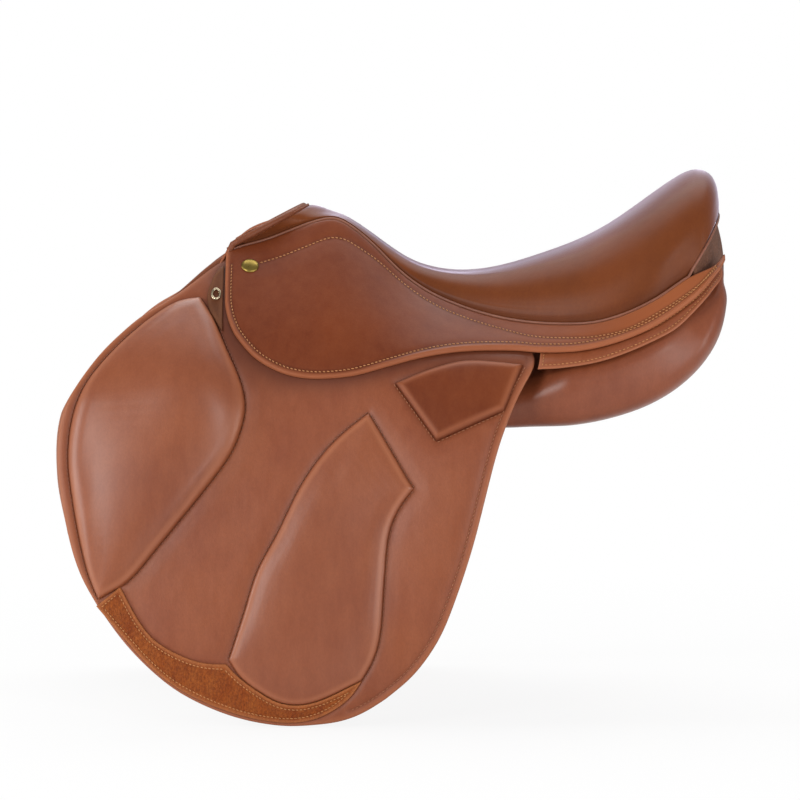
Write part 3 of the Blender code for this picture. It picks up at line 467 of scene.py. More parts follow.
tan = leather("tan_leather_finish", {
    "deep": (0.209, 0.051, 0.020), "warm": (0.253, 0.065, 0.020), "pale": (0.316, 0.100, 0.045),
    "dark": (0.085, 0.021, 0.010), "rim": (0.360, 0.120, 0.052), "grain": 1150, "grainStrength": 0.16,
    "grainDepth": 0.0004, "rough": 0.42, "coat": 0.03, "gloss": 0.32, "grooveShare": 0.2})
# its rim colour is brighter, for the painted highlight along the pads' ridges
padTan = leather("pad_leather_finish", {
    "deep": (0.207, 0.051, 0.019), "warm": (0.250, 0.064, 0.020), "pale": (0.313, 0.099, 0.042),
    "dark": (0.085, 0.021, 0.010), "rim": (0.400, 0.140, 0.064), "grain": 1150, "grainStrength": 0.16,
    "grainDepth": 0.0004, "rough": 0.42, "coat": 0.32, "coatRough": 0.28, "gloss": 0.3, "grooveShare": 0.25})
# the ring's tab: a darker brown leather, darkened further to paint the shade it lies in beside the skirt
tabDarkAndShadedTan = leather("tab_leather_finish", {
    "deep": (0.090, 0.028, 0.011), "warm": (0.125, 0.039, 0.014), "pale": (0.160, 0.056, 0.022),
    "dark": (0.020, 0.007, 0.004), "rim": (0.190, 0.070, 0.028), "grain": 900, "grainStrength": 0.3,
    "grainDepth": 0.0005, "rough": 0.5, "gloss": 0.2})
skirtTan = leather("skirt_leather_finish", {
    "deep": (0.131, 0.027, 0.009), "warm": (0.171, 0.036, 0.009), "pale": (0.223, 0.059, 0.021),
    "dark": (0.055, 0.013, 0.007), "rim": (0.340, 0.110, 0.048), "grain": 1150, "grainStrength": 0.14,
    # painted light: the rear of the skirt is paler, for the light that falls on it from the right
    "grainDepth": 0.0004, "rough": 0.43, "gloss": 0.16, "paintedLight": (0.300, 0.086, 0.030),
    "paintedLightRun": (0.02, 0.20)})
seatTan = leather("seat_leather_finish", {
    "deep": (0.129, 0.033, 0.009), "warm": (0.172, 0.043, 0.011), "pale": (0.215, 0.060, 0.014),
    "dark": (0.055, 0.014, 0.008), "rim": (0.150, 0.040, 0.020), "grain": 1300, "grainStrength": 0.12,
    "grainDepth": 0.00035, "rough": 0.47, "coat": 0.15, "gloss": 0.06, "streak": 0.2, "coatRough": 0.32,
    "sheen": 0.9, "sheenRough": 0.28, "sheenTint": (0.860, 0.800, 1.000)})
panelTan = leather("panel_leather_finish", {
    "deep": (0.180, 0.044, 0.018), "warm": (0.233, 0.058, 0.021), "pale": (0.282, 0.084, 0.037),
    "dark": (0.060, 0.015, 0.008), "rim": (0.200, 0.060, 0.030), "grain": 1200, "grainStrength": 0.14,
    "grainDepth": 0.0004, "rough": 0.36, "coat": 0.3, "gloss": 0.25, "coatRough": 0.3})
underTan = leather("under_leather_finish", {
    "deep": (0.190, 0.056, 0.028), "warm": (0.240, 0.072, 0.032), "pale": (0.30, 0.105, 0.055),
    "dark": (0.09, 0.026, 0.013), "rim": (0.36, 0.135, 0.065), "grain": 1000, "grainStrength": 0.2,
    "grainDepth": 0.0005, "rough": 0.5})
grained = leather("grained_leather_finish", {
    "deep": (0.219, 0.042, 0.006), "warm": (0.288, 0.063, 0.008), "pale": (0.409, 0.126, 0.026),
    "dark": (0.100, 0.018, 0.005), "rim": (0.420, 0.150, 0.055), "grain": 620, "grainStrength": 0.75,
    "grainDepth": 0.0011, "rough": 0.5, "streak": 0.5, "mottle": 60, "gloss": 0.12, "speckle": 0.7})
pipingTan = leather("piping_leather_finish", {
    "deep": (0.190, 0.062, 0.034), "warm": (0.240, 0.085, 0.045), "pale": (0.32, 0.13, 0.08),
    "dark": (0.08, 0.024, 0.012), "rim": (0.2, 0.06, 0.03), "grain": 1200, "grainStrength": 0.14,
    "grainDepth": 0.0003, "rough": 0.4, "gloss": 0.4})
facingTan = leather("cantle_facing_finish", {
    "deep": (0.119, 0.047, 0.027), "warm": (0.162, 0.066, 0.036), "pale": (0.230, 0.111, 0.068),
    "dark": (0.06, 0.022, 0.012), "rim": (0.2, 0.08, 0.04), "grain": 520, "grainStrength": 0.8,
    "grainDepth": 0.0011, "rough": 0.55, "streak": 0.5, "mottle": 50, "gloss": 0.2, "speckle": 0.6})
boundEdge = leather("bound_edge_finish", {
    "deep": (0.150, 0.042, 0.017), "warm": (0.200, 0.056, 0.022), "pale": (0.240, 0.078, 0.036),
    "dark": (0.040, 0.011, 0.006), "rim": (0.2, 0.06, 0.03), "grain": 1200, "grainStrength": 0.16,
    "grainDepth": 0.0004, "rough": 0.42, "gloss": 0.25})


def threadMaterial(name, tone, deep):
    g = Graph(name)
    twist = g.node("ShaderNodeTexWave", {"wave_type": "BANDS", "bands_direction": "DIAGONAL"}, {
        "Vector": g.place(), "Scale": 900, "Distortion": 1.5})
    return g.finish(Base_Color=g.blend(twist * 0.5, tone, deep), Roughness=0.62 - twist * 0.08,
                    Normal=g.bump(twist, 0.5, 0.0002))


paleThread = threadMaterial("pale_thread", (0.56, 0.25, 0.085), (0.40, 0.16, 0.05))
warmThread = threadMaterial("warm_thread", (0.36, 0.135, 0.060), (0.24, 0.08, 0.035))
darkThread = threadMaterial("dark_thread", (0.250, 0.088, 0.044), (0.15, 0.05, 0.025))


def metalMaterial(name, tone, rough):
    g = Graph(name)
    rub = g.noise(220, 4, 0.6, (1, 1, 0.2))
    cloud = g.noise(35, 3)
    deep = tuple(c * 0.72 for c in tone)
    return g.finish(Base_Color=g.blend(g.clamp(cloud, 0.35, 0.7) * 0.6, tone, deep), Metallic=1.0,
                    Roughness=g.clamp(rub, 0.3, 0.7, rough - 0.06, rough + 0.1),
                    Normal=g.bump(rub, 0.08, 0.0002))


brass = metalMaterial("polished_brass", (0.31, 0.22, 0.055), 0.32)
ringMetal = metalMaterial("pale_brass", (0.60, 0.50, 0.34), 0.22)
steel = metalMaterial("plated_steel_finish", (0.56, 0.55, 0.54), 0.3)


def woodMaterial():
    g = Graph("laminated_wood_finish")
    rings = g.node("ShaderNodeTexWave", {"wave_type": "BANDS", "bands_direction": "Y"}, {
        "Vector": g.place(), "Scale": 120, "Distortion": 2.5, "Detail": 3, "Detail Scale": 1.2})
    fibre = g.noise(300, 4, 0.6, (0.15, 1, 1))
    tone = g.blend(rings, (0.46, 0.30, 0.16), (0.33, 0.19, 0.09))
    tone = g.blend(fibre * 0.4, tone, (0.25, 0.14, 0.07))
    return g.finish(Base_Color=tone, Roughness=g.clamp(fibre, 0.3, 0.7, 0.5, 0.7),
                    Normal=g.bump(fibre, 0.2, 0.0005))


def webbingMaterial():
    g = Graph("woven_webbing_finish")
    weft, warp = (g.node("ShaderNodeTexWave", {"bands_direction": way}, {
        "Vector": g.place(), "Scale": 160, "Distortion": 0.6}) for way in "XZ")
    weave = weft * warp
    tone = g.blend(weave, (0.40, 0.35, 0.27), (0.66, 0.61, 0.50))
    return g.finish(Base_Color=tone, Roughness=g.clamp(weave, 0, 1, 0.9, 0.78),
                    Normal=g.bump(weave, 0.6, 0.0006))


def foamMaterial():
    g = Graph("seat_foam_finish")
    cells = g.node("ShaderNodeTexVoronoi", {"feature": "F1"}, {"Vector": g.place(), "Scale": 700})
    tone = g.blend(g.noise(40, 3), (0.72, 0.66, 0.48), (0.80, 0.75, 0.60))
    return g.finish(Base_Color=tone, Roughness=g.clamp(cells, 0, 1, 0.95, 0.85),
                    Normal=g.bump(cells, 0.5, 0.0006))


wood, webbing, foam = woodMaterial(), webbingMaterial(), foamMaterial()
print("materials ready")


def between(table, i, k, fx, fz):  # reads a table between its cells
    return (table[i, k] * (1 - fx) * (1 - fz) + table[i + 1, k] * fx * (1 - fz)
            + table[i, k + 1] * (1 - fx) * fz + table[i + 1, k + 1] * fx * fz)


crownLook = {"cell": 3.0, "rounds": 3500, "evened": 10}


def crownField(outline):  # a smooth swelling over an outline, 0 at its seam and 1 at its middle
    cell = crownLook["cell"]
    low, high = outline.min(0) - 2 * cell, outline.max(0) + 2 * cell
    nx, nz = np.ceil((high - low) / cell).astype(int) + 1
    gx, gz = np.meshgrid(low[0] + cell * np.arange(nx), low[1] + cell * np.arange(nz), indexing="ij")
    inside = (insideOf(np.stack([gx.ravel(), gz.ravel()], 1), outline) > 0).reshape(nx, nz)
    field = np.zeros((nx, nz))

    def around():
        return np.roll(field, 1, 0) + np.roll(field, -1, 0) + np.roll(field, 1, 1) + np.roll(field, -1, 1)

    for _ in range(crownLook["rounds"]):
        field = np.where(inside, around() / 4 + 0.01, 0)
    for _ in range(crownLook["evened"]):  # takes out the steps that the cells leave along the seam
        field = field / 2 + around() / 8
    field /= field.max()

    def sample(p):
        x, z = ((p - low) / cell).T
        x, z = np.clip(x, 0, nx - 1.001), np.clip(z, 0, nz - 1.001)
        i, k = x.astype(int), z.astype(int)
        return between(field, i, k, x - i, z - k)
    return sample


simLook = {"columns": 34, "rows": 54, "pressure": 4.0, "frames": 20, "tension": 12.0, "bending": 0.6,
           "mass": 0.25, "quality": 4, "evened": 6}


def simulated(shape, cap, key):
    # lets a leather skin swell under pressure with its seam held; gives how far each spot moves
    nu, nv = simLook["columns"], simLook["rows"]
    bm = bmesh.new()
    bmesh.ops.create_grid(bm, x_segments=nu - 1, y_segments=nv - 1, size=0.5)
    bm.verts.ensure_lookup_table()
    uv = np.array([v.co for v in bm.verts])[:, :2] + 0.5
    start = shape(uv[:, 0], uv[:, 1]) * mm
    moveTo(bm, start)
    skin = newPiece("skin_" + key, bm, tan)
    rim = np.minimum(np.minimum(uv[:, 0], 1 - uv[:, 0]), np.minimum(uv[:, 1], 1 - uv[:, 1]))
    held = skin.vertex_groups.new(name="held")
    held.add([int(k) for k in np.flatnonzero(rim < 1e-4)], 1.0, "REPLACE")
    cloth = skin.modifiers.new("cloth", "CLOTH")
    settings = cloth.settings
    settings.quality, settings.mass = simLook["quality"], simLook["mass"]
    settings.tension_stiffness = settings.compression_stiffness = simLook["tension"]
    settings.bending_stiffness = simLook["bending"]
    settings.use_pressure, settings.uniform_pressure_force = True, simLook["pressure"]
    settings.vertex_group_mass = "held"
    settings.effector_weights.gravity = 0
    cloth.collision_settings.use_collision = False
    cloth.point_cache.frame_end = simLook["frames"] + 1
    for frameNumber in range(1, simLook["frames"] + 1):
        bpy.context.scene.frame_set(frameNumber)
    evaluated = skin.evaluated_get(bpy.context.evaluated_depsgraph_get())
    moved = np.array([v.co for v in evaluated.data.vertices])
    bpy.data.objects.remove(skin)
    bpy.context.scene.frame_set(1)
    move = (moved - start) / mm
    size = np.linalg.norm(move, axis=1)
    move *= (np.minimum(size, cap) / np.maximum(size, 1e-9))[:, None]
    print(key, "swelled by", round(float(size.max()), 1), "mm, held to", cap)
    order = np.lexsort((uv[:, 1], uv[:, 0]))
    table = move[order].reshape(nu, nv, 3)
    for _ in range(simLook["evened"]):  # takes out the small puckers by the seam
        table[1:-1] = (table[:-2] + 2 * table[1:-1] + table[2:]) / 4
        table[:, 1:-1] = (table[:, :-2] + 2 * table[:, 1:-1] + table[:, 2:]) / 4

    def moves(u, v):
        x, z = unit(u) * (nu - 1), unit(v) * (nv - 1)
        i, k = np.minimum(x.astype(int), nu - 2), np.minimum(z.astype(int), nv - 2)
        fx, fz = (x - i)[:, None], (z - k)[:, None]
        return between(table, i, k, fx * fx * (3 - 2 * fx), fz * fz * (3 - 2 * fz))
    return moves


# distances in from a pad's seam over which its parts grow, how its edge is pinched, and where a lighter band
# paints a highlight on the ridge inside the seam
padSeam = {"crownFrom": 7.0, "swellFrom": 25.0, "under": 1.5, "pinch": 1.0, "pinchWidth": 0.9,
           "ridgeHighlightAt": 3.4, "rimWidth": 2.4, "rimShare": 0.7, "groove": 1.3}


def pillow(p, look):  # height of a sewn pad: a firm roll by the seam, then a soft crown
    d = insideOf(p, look["outline"])
    e = 1 - unit(d / look["roll"])
    roll = look["rollHeight"] * np.sqrt(np.maximum(1 - e * e, 0))
    crown = look["field"](p) ** look["fullness"] * (1 - bell(d, padSeam["crownFrom"]))
    height = roll + look["crownHeight"] * crown
    if "swell" in look:
        x, z, reach, rise = look["swell"]
        hump = np.exp(-((p[:, 0] - x) ** 2 + (p[:, 1] - z) ** 2) / reach ** 2)
        height += rise * hump * unit(d / padSeam["swellFrom"])
    return np.where(d > 0, height, 0), d


# one leather from under the skirt to its foot, with raised pads sewn on it
flapLook = {
    "out": -4.8, "leather": 4.5, "step": 2.3, "sunk": 1.9,
    "top": [(-216, 146), (-185, 141), (-150, 124), (-60, 98), (62, 66)],
    "rear": [(62, 66), (69, 54), (65, 42), (55, 27), (44, 3), (32, -29), (20, -74), (9, -117), (-6, -164),
             (-22, -204), (-46, -238), (-71, -259)],
    "foot": [(-71, -259), (-91, -272), (-113, -280), (-140, -283), (-163, -284), (-201, -278), (-233, -267),
             (-264, -251), (-290, -230), (-313, -206), (-336, -175)],
    "front": [(-336, -175), (-352, -148), (-363, -116), (-369, -87), (-374, -57), (-375, -35), (-372, -5),
              (-364, 16), (-351, 37), (-335, 58), (-312, 80), (-296, 93), (-280, 101), (-256, 118),
              (-235, 135), (-216, 146)],
    "grooveDepth": 0.8, "grooveWidth": 3.0, "grooveLine": 1.6, "swell": 1.3, "swellReach": 14.0,
    "swellPower": 0.7, "swellRim": 16.0, "insertSunk": 0.4, "seatEdge": 1.5, "calmRim": 4.0,
    "rimWidth": 3.6, "border": 7.0,
    # painted shade beside the skirt's edge, wider ahead of it
    "shade": 4.0, "shadeReach": 10.0, "shadeMore": 10.0, "shadeFrom": -150.0, "shadeRun": 50.0}
padLooks = {
    "knee_pad": {
        "runs": [
            [(-245, 106), (-232, 89), (-221, 64), (-210, 42), (-203, 24), (-200, 6), (-204, -12), (-212, -33),
             (-219, -44), (-238, -69), (-260, -96), (-284, -125), (-307, -153), (-314, -157)],
            [(-314, -157), (-325, -163), (-335, -169)],
            [(-335, -169), (-344, -150), (-355, -107), (-363, -61), (-365, -38), (-361, -3), (-350, 27),
             (-334, 48), (-316, 67), (-297, 83)],
            [(-297, 83), (-279, 96), (-262, 105), (-245, 106)]],
        "roll": 12.0, "rollHeight": 7.5, "crownHeight": 10.5, "fullness": 0.75, "cap": 2.5,
        "swell": (-252, 28, 42, 5.5),  # x, z, reach, rise
        "replaces": ["knee_pad_top", "knee_pad"], "step": 2.1},
    "leaf_pad": {
        "runs": [
            [(-87, 2), (-115, -20), (-136, -44), (-153, -71), (-171, -109), (-189, -141), (-200, -177),
             (-215, -223)],
            [(-215, -223), (-205, -240), (-190, -250), (-169, -263), (-148, -265), (-127, -259),
             (-111, -251), (-93, -242)],
            [(-93, -242), (-83, -226), (-76, -202), (-74, -171), (-72, -139), (-69, -106), (-60, -84),
             (-46, -66)],
            [(-46, -66), (-50, -61), (-62, -40), (-87, 2)]],
        "roll": 8.0, "rollHeight": 3.9, "crownHeight": 2.8, "fullness": 0.6, "cap": 1.6,
        "replaces": ["leaf_pad"], "step": 2.0},
    "block_pad": {
        "runs": [[(-63, 29), (-44, 3), (-25, -23)], [(-25, -23), (6, -9), (38, 5)],
                 [(38, 5), (47, 26), (56, 47)], [(56, 47), (28, 50), (0, 51), (-41, 39), (-63, 29)]],
        "roll": 7.0, "rollHeight": 4.0, "crownHeight": 2.4, "fullness": 0.6, "cap": 1.2,
        "replaces": ["block_pad"], "step": 1.6}}
insertLook = {
    "upper": [(-337, -175), (-326, -166), (-315, -157)],
    "edge": [(-315, -157), (-306, -174), (-298, -188), (-285, -205), (-268, -215), (-251, -223),
             (-234, -227), (-217, -227)],
    "cusp": [(-217, -227), (-205, -240), (-190, -250), (-169, -263), (-148, -265), (-127, -259),
             (-111, -251), (-93, -242)],
    "foot": [(-93, -242), (-101, -256), (-121, -271), (-140, -279), (-163, -281), (-200, -275), (-232, -264),
             (-264, -248), (-289, -228), (-311, -204), (-337, -175)],
    "lift": 1.9, "thick": 2.2, "sunk": 0.4, "bead": 0.5, "beadAt": 1.6, "beadWidth": 1.1,
    "stitchAt": 4.2, "creaseDepth": 0.25, "creaseWidth": 1.3, "rimWidth": 2.4, "grooveWidth": 1.0,
    "grooveShare": 0.5, "threadLift": 2.05, "threadClear": 2.5}

skirtLook = {
    "leather": 4.0, "step": 2.5, "drop": 1.3, "bead": 1.3, "beadAt": 2.1, "beadWidth": 1.6, "stitchAt": 5.8,
    "upperGroove": 0.5, "lowerGroove": 0.4, "grooveWidth": 2.6, "grooveLine": 1.4, "rimWidth": 3.4,
    "puff": 1.0, "puffReach": 40.0, "puffFrom": 14.0, "calmRim": 2.0,
    "lower": [(-222, 108), (-221, 96), (-217, 82), (-210, 69), (-192, 50), (-168, 37), (-145, 32), (-121, 32),
              (-98, 35), (-69, 43), (-34, 52), (2, 57), (47, 58), (73, 56.5), (109, 58), (144, 66), (179, 80.5),
              (215, 104.5), (236, 124), (247, 136)],
    "tail": [(247, 136), (248.4, 139.5), (248.6, 144)],
    "upperStitch": [(-190, 135), (-170, 141), (-147, 150), (-125, 158), (-111, 157), (-98, 150), (-79, 137),
                    (-52, 114), (-26, 97), (3, 85), (38, 75), (67, 69), (99, 68), (123, 69.5), (151, 76),
                    (179, 90), (215, 113), (240, 134)]}
seamX = np.linspace(skirtLook["lower"][0][0], 244, 60)
seamRun = [(x, z - skirtLook["drop"]) for x, z in zip(seamX, seamAt(seamX)[:, 2])]
skirtLook["upper"] = [skirtLook["tail"][-1]] + seamRun[::-1][1:]  # runs along the seam with the seat
skirtLook["front"] = [skirtLook["upper"][-1], (-222, 125), skirtLook["lower"][0]]
skirtRuns = [skirtLook[key] for key in ("lower", "tail", "upper", "front")]
skirtOutline = closed(skirtRuns, 3)
skirtRimLine = evenly(skirtLook["front"] + skirtLook["lower"][1:], 3)
upperStitchLine = evenly(skirtLook["upperStitch"], 3)
lowerStitchLine = inset([(-222, 134)] + skirtLook["lower"], -skirtLook["stitchAt"], 3)


def eased(run, step=5.0, passes=8):  # the run as close points, its small kinks evened out
    p = evenly(run, step)
    for _ in range(passes):
        p[1:-1] = (p[:-2] + 2 * p[1:-1] + p[2:]) / 4
    return [tuple(spot) for spot in p]


for look in padLooks.values():
    look["runs"] = [eased(run) for run in look["runs"]]
for key in ("rear", "foot", "front"):
    flapLook[key] = eased(flapLook[key])
for key in ("edge", "cusp", "foot"):
    insertLook[key] = eased(insertLook[key])
flapRuns = [flapLook[key] for key in ("top", "rear", "foot", "front")]
flapOutline = closed(flapRuns)
insertOutline = closed([insertLook[key] for key in ("upper", "edge", "cusp", "foot")], 3)
borderLine = inset(flapLook["rear"][4:] + flapLook["foot"][1:8], flapLook["border"], 3)
for look in padLooks.values():
    look["outline"] = closed(look["runs"], 3)
    look["field"] = crownField(look["outline"])
grooveLines = [look["outline"] for look in padLooks.values()] + [insertOutline, borderLine]


def flapHeight(p):  # of the flap's outer face, sunk under the pads and the insert
    far = nearestOn(p, grooveLines)
    groove = flapLook["grooveDepth"] * bell(far, flapLook["grooveWidth"])
    under = np.zeros(len(p))
    for look in padLooks.values():
        under = np.maximum(under, unit(insideOf(p, look["outline"]) / flapLook["seatEdge"]))
    seated = unit(insideOf(p, insertOutline) / flapLook["seatEdge"])
    border = insideOf(p, flapOutline)
    swell = flapLook["swell"] * unit(far / flapLook["swellReach"]) ** flapLook["swellPower"]
    height = swell * unit(border / flapLook["swellRim"]) * (1 - under) * (1 - seated) - groove
    return height - (flapLook["sunk"] - groove) * under - flapLook["insertSunk"] * seated


def flapShape(u, v, w):
    look = flapLook
    p = coons(flapRuns, u, v)
    far = nearestOn(p, grooveLines)
    d = np.maximum(insideOf(p, flapOutline), 0)
    drawn = roundedRim(d, look["leather"])
    outer = look["out"] - drawn + flapHeight(p) * unit(d / look["calmRim"])
    inner = look["out"] - look["leather"] + drawn
    # painted shade: the flap is darkened beside the skirt's edge, carried in the groove mark
    beside = nearestOn(p, [skirtRimLine])
    front = unit((look["shadeFrom"] - p[:, 0]) / look["shadeRun"])
    shade = look["shade"] * bell(beside, look["shadeReach"] + look["shadeMore"] * front, 1.5)
    dark = (bell(far, look["grooveLine"]) + shade) * (w > 0.5)
    return onSide(p, np.where(w > 0.5, outer, inner)), bell(d, look["rimWidth"]), dark


# a point on each leather's fold, the way up from it and half the band that bends
foldLine = {"flap": [(-155.55, 180.64, 28.9), (-78.7, -374.2, 924.0), 34],
            "skirt": [(-79.52, 129.41, 101.0), (181.3, -718.7, 671.3), 14]}


def bendWith(piece, body, side, hand):  # looks up the fold's middle and way up, then only bakes the piece's place into its mesh
    middle, up, reach = foldLine[body]
    middle = Vector((middle[0], middle[1] * hand, middle[2]))
    up = Vector((up[0], up[1] * hand, up[2])).normalized()
    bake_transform(piece)


def sewnPad(name, look, out, mat, side, hand, bends):
    runs = look["runs"]
    if "moves" not in look:  # the two sides share one simulation
        def skin(u, v):
            p = coons(runs, u, v)
            return onSide(p, out + pillow(p, look)[0])
        look["moves"] = simulated(skin, look["cap"], name)

    def shape(u, v, w):
        p = coons(runs, u, v)
        height, d = pillow(p, look)
        d = np.maximum(d, 0)
        top = out - padSeam["pinch"] * bell(d, padSeam["pinchWidth"]) + height
        place = onSide(p, np.where(w > 0.5, top, out - padSeam["under"]))
        place[w > 0.5] += look["moves"](u[w > 0.5], v[w > 0.5])
        # painted highlight: a lighter band along the ridge inside the seam
        rim = bell(d - padSeam["ridgeHighlightAt"], padSeam["rimWidth"]) * padSeam["rimShare"]
        return place, rim, bell(d, padSeam["groove"])

    width = lengthOf(evenly(runs[0], 5))
    depth = max(lengthOf(evenly(run, 5)) for run in (runs[1], runs[3]))
    piece = leatherSheet(name + "_leather_" + side, gridLines(width, look["step"]),
                         gridLines(depth, look["step"]), shape, mat, hand)
    if bends:
        bendWith(piece, "flap", side, hand)
    else:
        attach(piece, "root")
    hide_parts(*[node + "_" + side for node in look["replaces"]])


flapThread = {"pitch": 4.1, "length": 3.3, "width": 1.0, "slant": 0.16, "lift": 0.5, "lowest": -1.0}


def onFlap(run, away=0.0):
    p = inset(run, away, 3) if isinstance(run, list) else run
    height = np.maximum(flapHeight(p), flapThread["lowest"])
    return threadRow(p, flapLook["out"] + height + flapThread["lift"])


us, vs = gridLines(300, flapLook["step"] * 0.75), gridLines(430, flapLook["step"])  # about its size
for side, hand in sides.items():
    flap = leatherSheet("flap_leather_" + side, us, vs, flapShape, tan, hand)
    bendWith(flap, "flap", side, hand)
    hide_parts("flap_top_" + side, "flap_" + side)
    for label, look in padLooks.items():
        # the block pad takes the darker skirt leather, painted shade for where it lies under the skirt's edge
        padMat = skirtTan if label == "block_pad" else padTan
        sewnPad(label, look, flapLook["out"], padMat, side, hand, bends=True)
    knee, leaf, block = (look["runs"] for look in padLooks.values())
    rows = [onFlap(knee[0][3:], -1.0), onFlap(knee[2], -1.0)] + [onFlap(leaf[k], 1.0) for k in (0, 2, 3)]
    sewn = stitches("flap_dark_stitches_" + side, rows, hand, darkThread, flapThread)
    bendWith(sewn, "flap", side, hand)
    rows = [onFlap(block[0], 1.0), onFlap(block[1], 1.0), onFlap(borderLine[2:])]
    sewn = stitches("flap_warm_stitches_" + side, rows, hand, warmThread, flapThread)
    bendWith(sewn, "flap", side, hand)
print("flaps sewn")


def insertShape(u, v, w):  # the grained piece let in at the flap's foot
    look = insertLook
    p = coons([look["upper"], look["edge"] + look["cusp"][1:], look["foot"][:2], look["foot"][1:]], u, v)
    d = np.maximum(insideOf(p, insertOutline), 0)
    base = flapLook["out"] + np.maximum(flapHeight(p), -look["sunk"])
    outer = base + look["lift"] - roundedRim(d, look["thick"])
    outer += look["bead"] * bell(d - look["beadAt"], look["beadWidth"])
    outer -= look["creaseDepth"] * bell(d - look["stitchAt"], look["creaseWidth"])
    place = onSide(p, np.where(w > 0.5, outer, base - look["sunk"]))
    groove = bell(d - look["stitchAt"], look["grooveWidth"]) * look["grooveShare"]
    return place, bell(d, look["rimWidth"]) * (w > 0.5), groove


insertThread = {"pitch": 3.6, "length": 2.9, "width": 0.95, "slant": 0.12}
for side, hand in sides.items():
    insert = leatherSheet("foot_insert_" + side, gridLines(24, 1.5, (0.0, 0.3, 0.9, 1.8)), gridLines(300, 1.6),
                          insertShape, grained, hand)
    finished(insert, "flap_" + side, ["bottom_insert_" + side])
    rows = []
    for key, first, last, back in (("edge", 0, None, 0), ("cusp", 1, None, 0), ("foot", 3, -2, 0),
                                   ("upper", 0, None, 0.4)):
        run = inset(insertLook[key], insertLook["stitchAt"] - back, 3)[first:last]
        run = run[insideOf(run, insertOutline) > insertLook["threadClear"]]
        if len(run) > 2:
            rows.append(threadRow(run, flapLook["out"] + flapHeight(run) + insertLook["threadLift"]))
    sewn = stitches("insert_stitches_" + side, rows, hand, paleThread, insertThread)
    finished(sewn, "flap_" + side)
print("inserts sewn")


def skirtHeight(p):  # a thick rolled edge, two stitched grooves and a soft middle
    look = skirtLook
    rim, upper, lower = (nearestOn(p, [line]) for line in (skirtRimLine, upperStitchLine, lowerStitchLine))
    bead = look["bead"] * bell(rim - look["beadAt"], look["beadWidth"])
    groove = look["upperGroove"] * bell(upper, look["grooveWidth"])
    groove = groove + look["lowerGroove"] * bell(lower, look["grooveWidth"])
    puff = look["puff"] * unit(rim / look["puffReach"]) * unit(upper / look["puffFrom"])
    return bead - groove + puff, bell(np.minimum(upper, lower), look["grooveLine"]), rim


def skirtShape(u, v, w):
    p = coons(skirtRuns, u, v)
    d = np.maximum(insideOf(p, skirtOutline), 0)
    height, groove, rim = skirtHeight(p)
    drawn = roundedRim(d, skirtLook["leather"])
    outer = height * unit(d / skirtLook["calmRim"]) - drawn
    place = onSide(p, np.where(w > 0.5, outer, -skirtLook["leather"] + drawn))
    return place, bell(rim, skirtLook["rimWidth"], 4), groove * (w > 0.5)


skirtThread = {"pitch": 3.8, "length": 3.0, "width": 1.05, "slant": 0.18, "lift": 0.3}
for side, hand in sides.items():
    skirt = leatherSheet("skirt_leather_" + side, gridLines(520, skirtLook["step"]), gridLines(100, 2.2),
                         skirtShape, skirtTan, hand)
    bendWith(skirt, "skirt", side, hand)
    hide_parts("skirt_top_" + side, "skirt_" + side)
    rows = [threadRow(line, skirtHeight(line)[0] + skirtThread["lift"])
            for line in (upperStitchLine, lowerStitchLine[:-2])]
    sewn = stitches("skirt_stitches_" + side, rows, hand, paleThread, skirtThread)
    bendWith(sewn, "skirt", side, hand)
print("skirts sewn")


seatLook = {
    "first": 0.006, "last": 0.996, "leather": 2.0, "evenedOver": 0.03, "cap": 1.8,
    # its last strip turns down and in to the piping
    "lipFrom": 0.975, "lipDown": 6.5, "lipIn": 1.4, "half": 60.0, "creaseWidth": 2.0, "creaseShare": 0.6}


def seatSkin(u, v, depth=0.0):  # the stuffing evens the seat out along its length
    a = seatLook["first"] + (seatLook["last"] - seatLook["first"]) * u
    b = np.clip(2 * v - 1, -1, 1)
    reach = np.minimum(seatLook["evenedOver"], np.minimum(a, 1 - a))
    place = np.mean([seatAt(a + reach * k, b, depth) for k in np.linspace(-1, 1, 7)], 0)
    lip = unit((np.abs(b) - seatLook["lipFrom"]) / (1 - seatLook["lipFrom"])) ** 2
    place[:, 2] -= seatLook["lipDown"] * lip
    place[:, 1] -= np.sign(b) * seatLook["lipIn"] * lip
    return place


seatMoves = simulated(seatSkin, seatLook["cap"], "seat")


def seatShape(u, v, w):
    b = 2 * v - 1
    place = seatSkin(u, v, np.where(w > 0.5, 0.0, -seatLook["leather"])) + seatMoves(u, v)
    crease = bell((1 - np.abs(b)) * seatLook["half"], seatLook["creaseWidth"]) * seatLook["creaseShare"]
    return place, np.zeros(len(u)), crease


closeAtSeam = (1 - np.cos(np.linspace(0, math.pi, 96))) / 2
seat = leatherSheet("seat_leather", np.linspace(0, 1, 170), closeAtSeam, seatShape, seatTan)
finished(seat, "root", ["seat_cover"])

weltLook = {"radius": 1.35, "drop": 1.2, "in": 0.9, "ahead": 0.6}
near = seamAt(seatRow(np.linspace(0.01, 1, 140))[:, 0])
near += np.array([0, -weltLook["in"], -weltLook["drop"]])
back = seatAt(np.ones(44), np.linspace(-1, 1, 46)[1:-1])
back += np.array([-weltLook["ahead"], 0, -saddleShape["seatLeather"] - weltLook["drop"]])
path = np.concatenate([near * (1, -1, 1), back, near[::-1]])
welt = tubePiece("seat_piping", path * mm, weltLook["radius"] * mm, pipingTan, sidesRound=14)
finished(welt, "root", ["seat_welt"])

# the strip bound over the pommel's edge; share is how far back it reaches on the seat
bindingLook = {"share": 0.034, "width": 11.0, "lift": 1.7, "under": 0.6, "thick": 2.4, "stitchAt": 2.4,
               "creaseDepth": 0.5, "creaseWidth": 0.8, "grooveWidth": 0.7, "rimWidth": 1.2, "rimShare": 0.5,
               "sewnAt": 0.78, "sewnLift": 1.45, "sewnReach": 0.93}


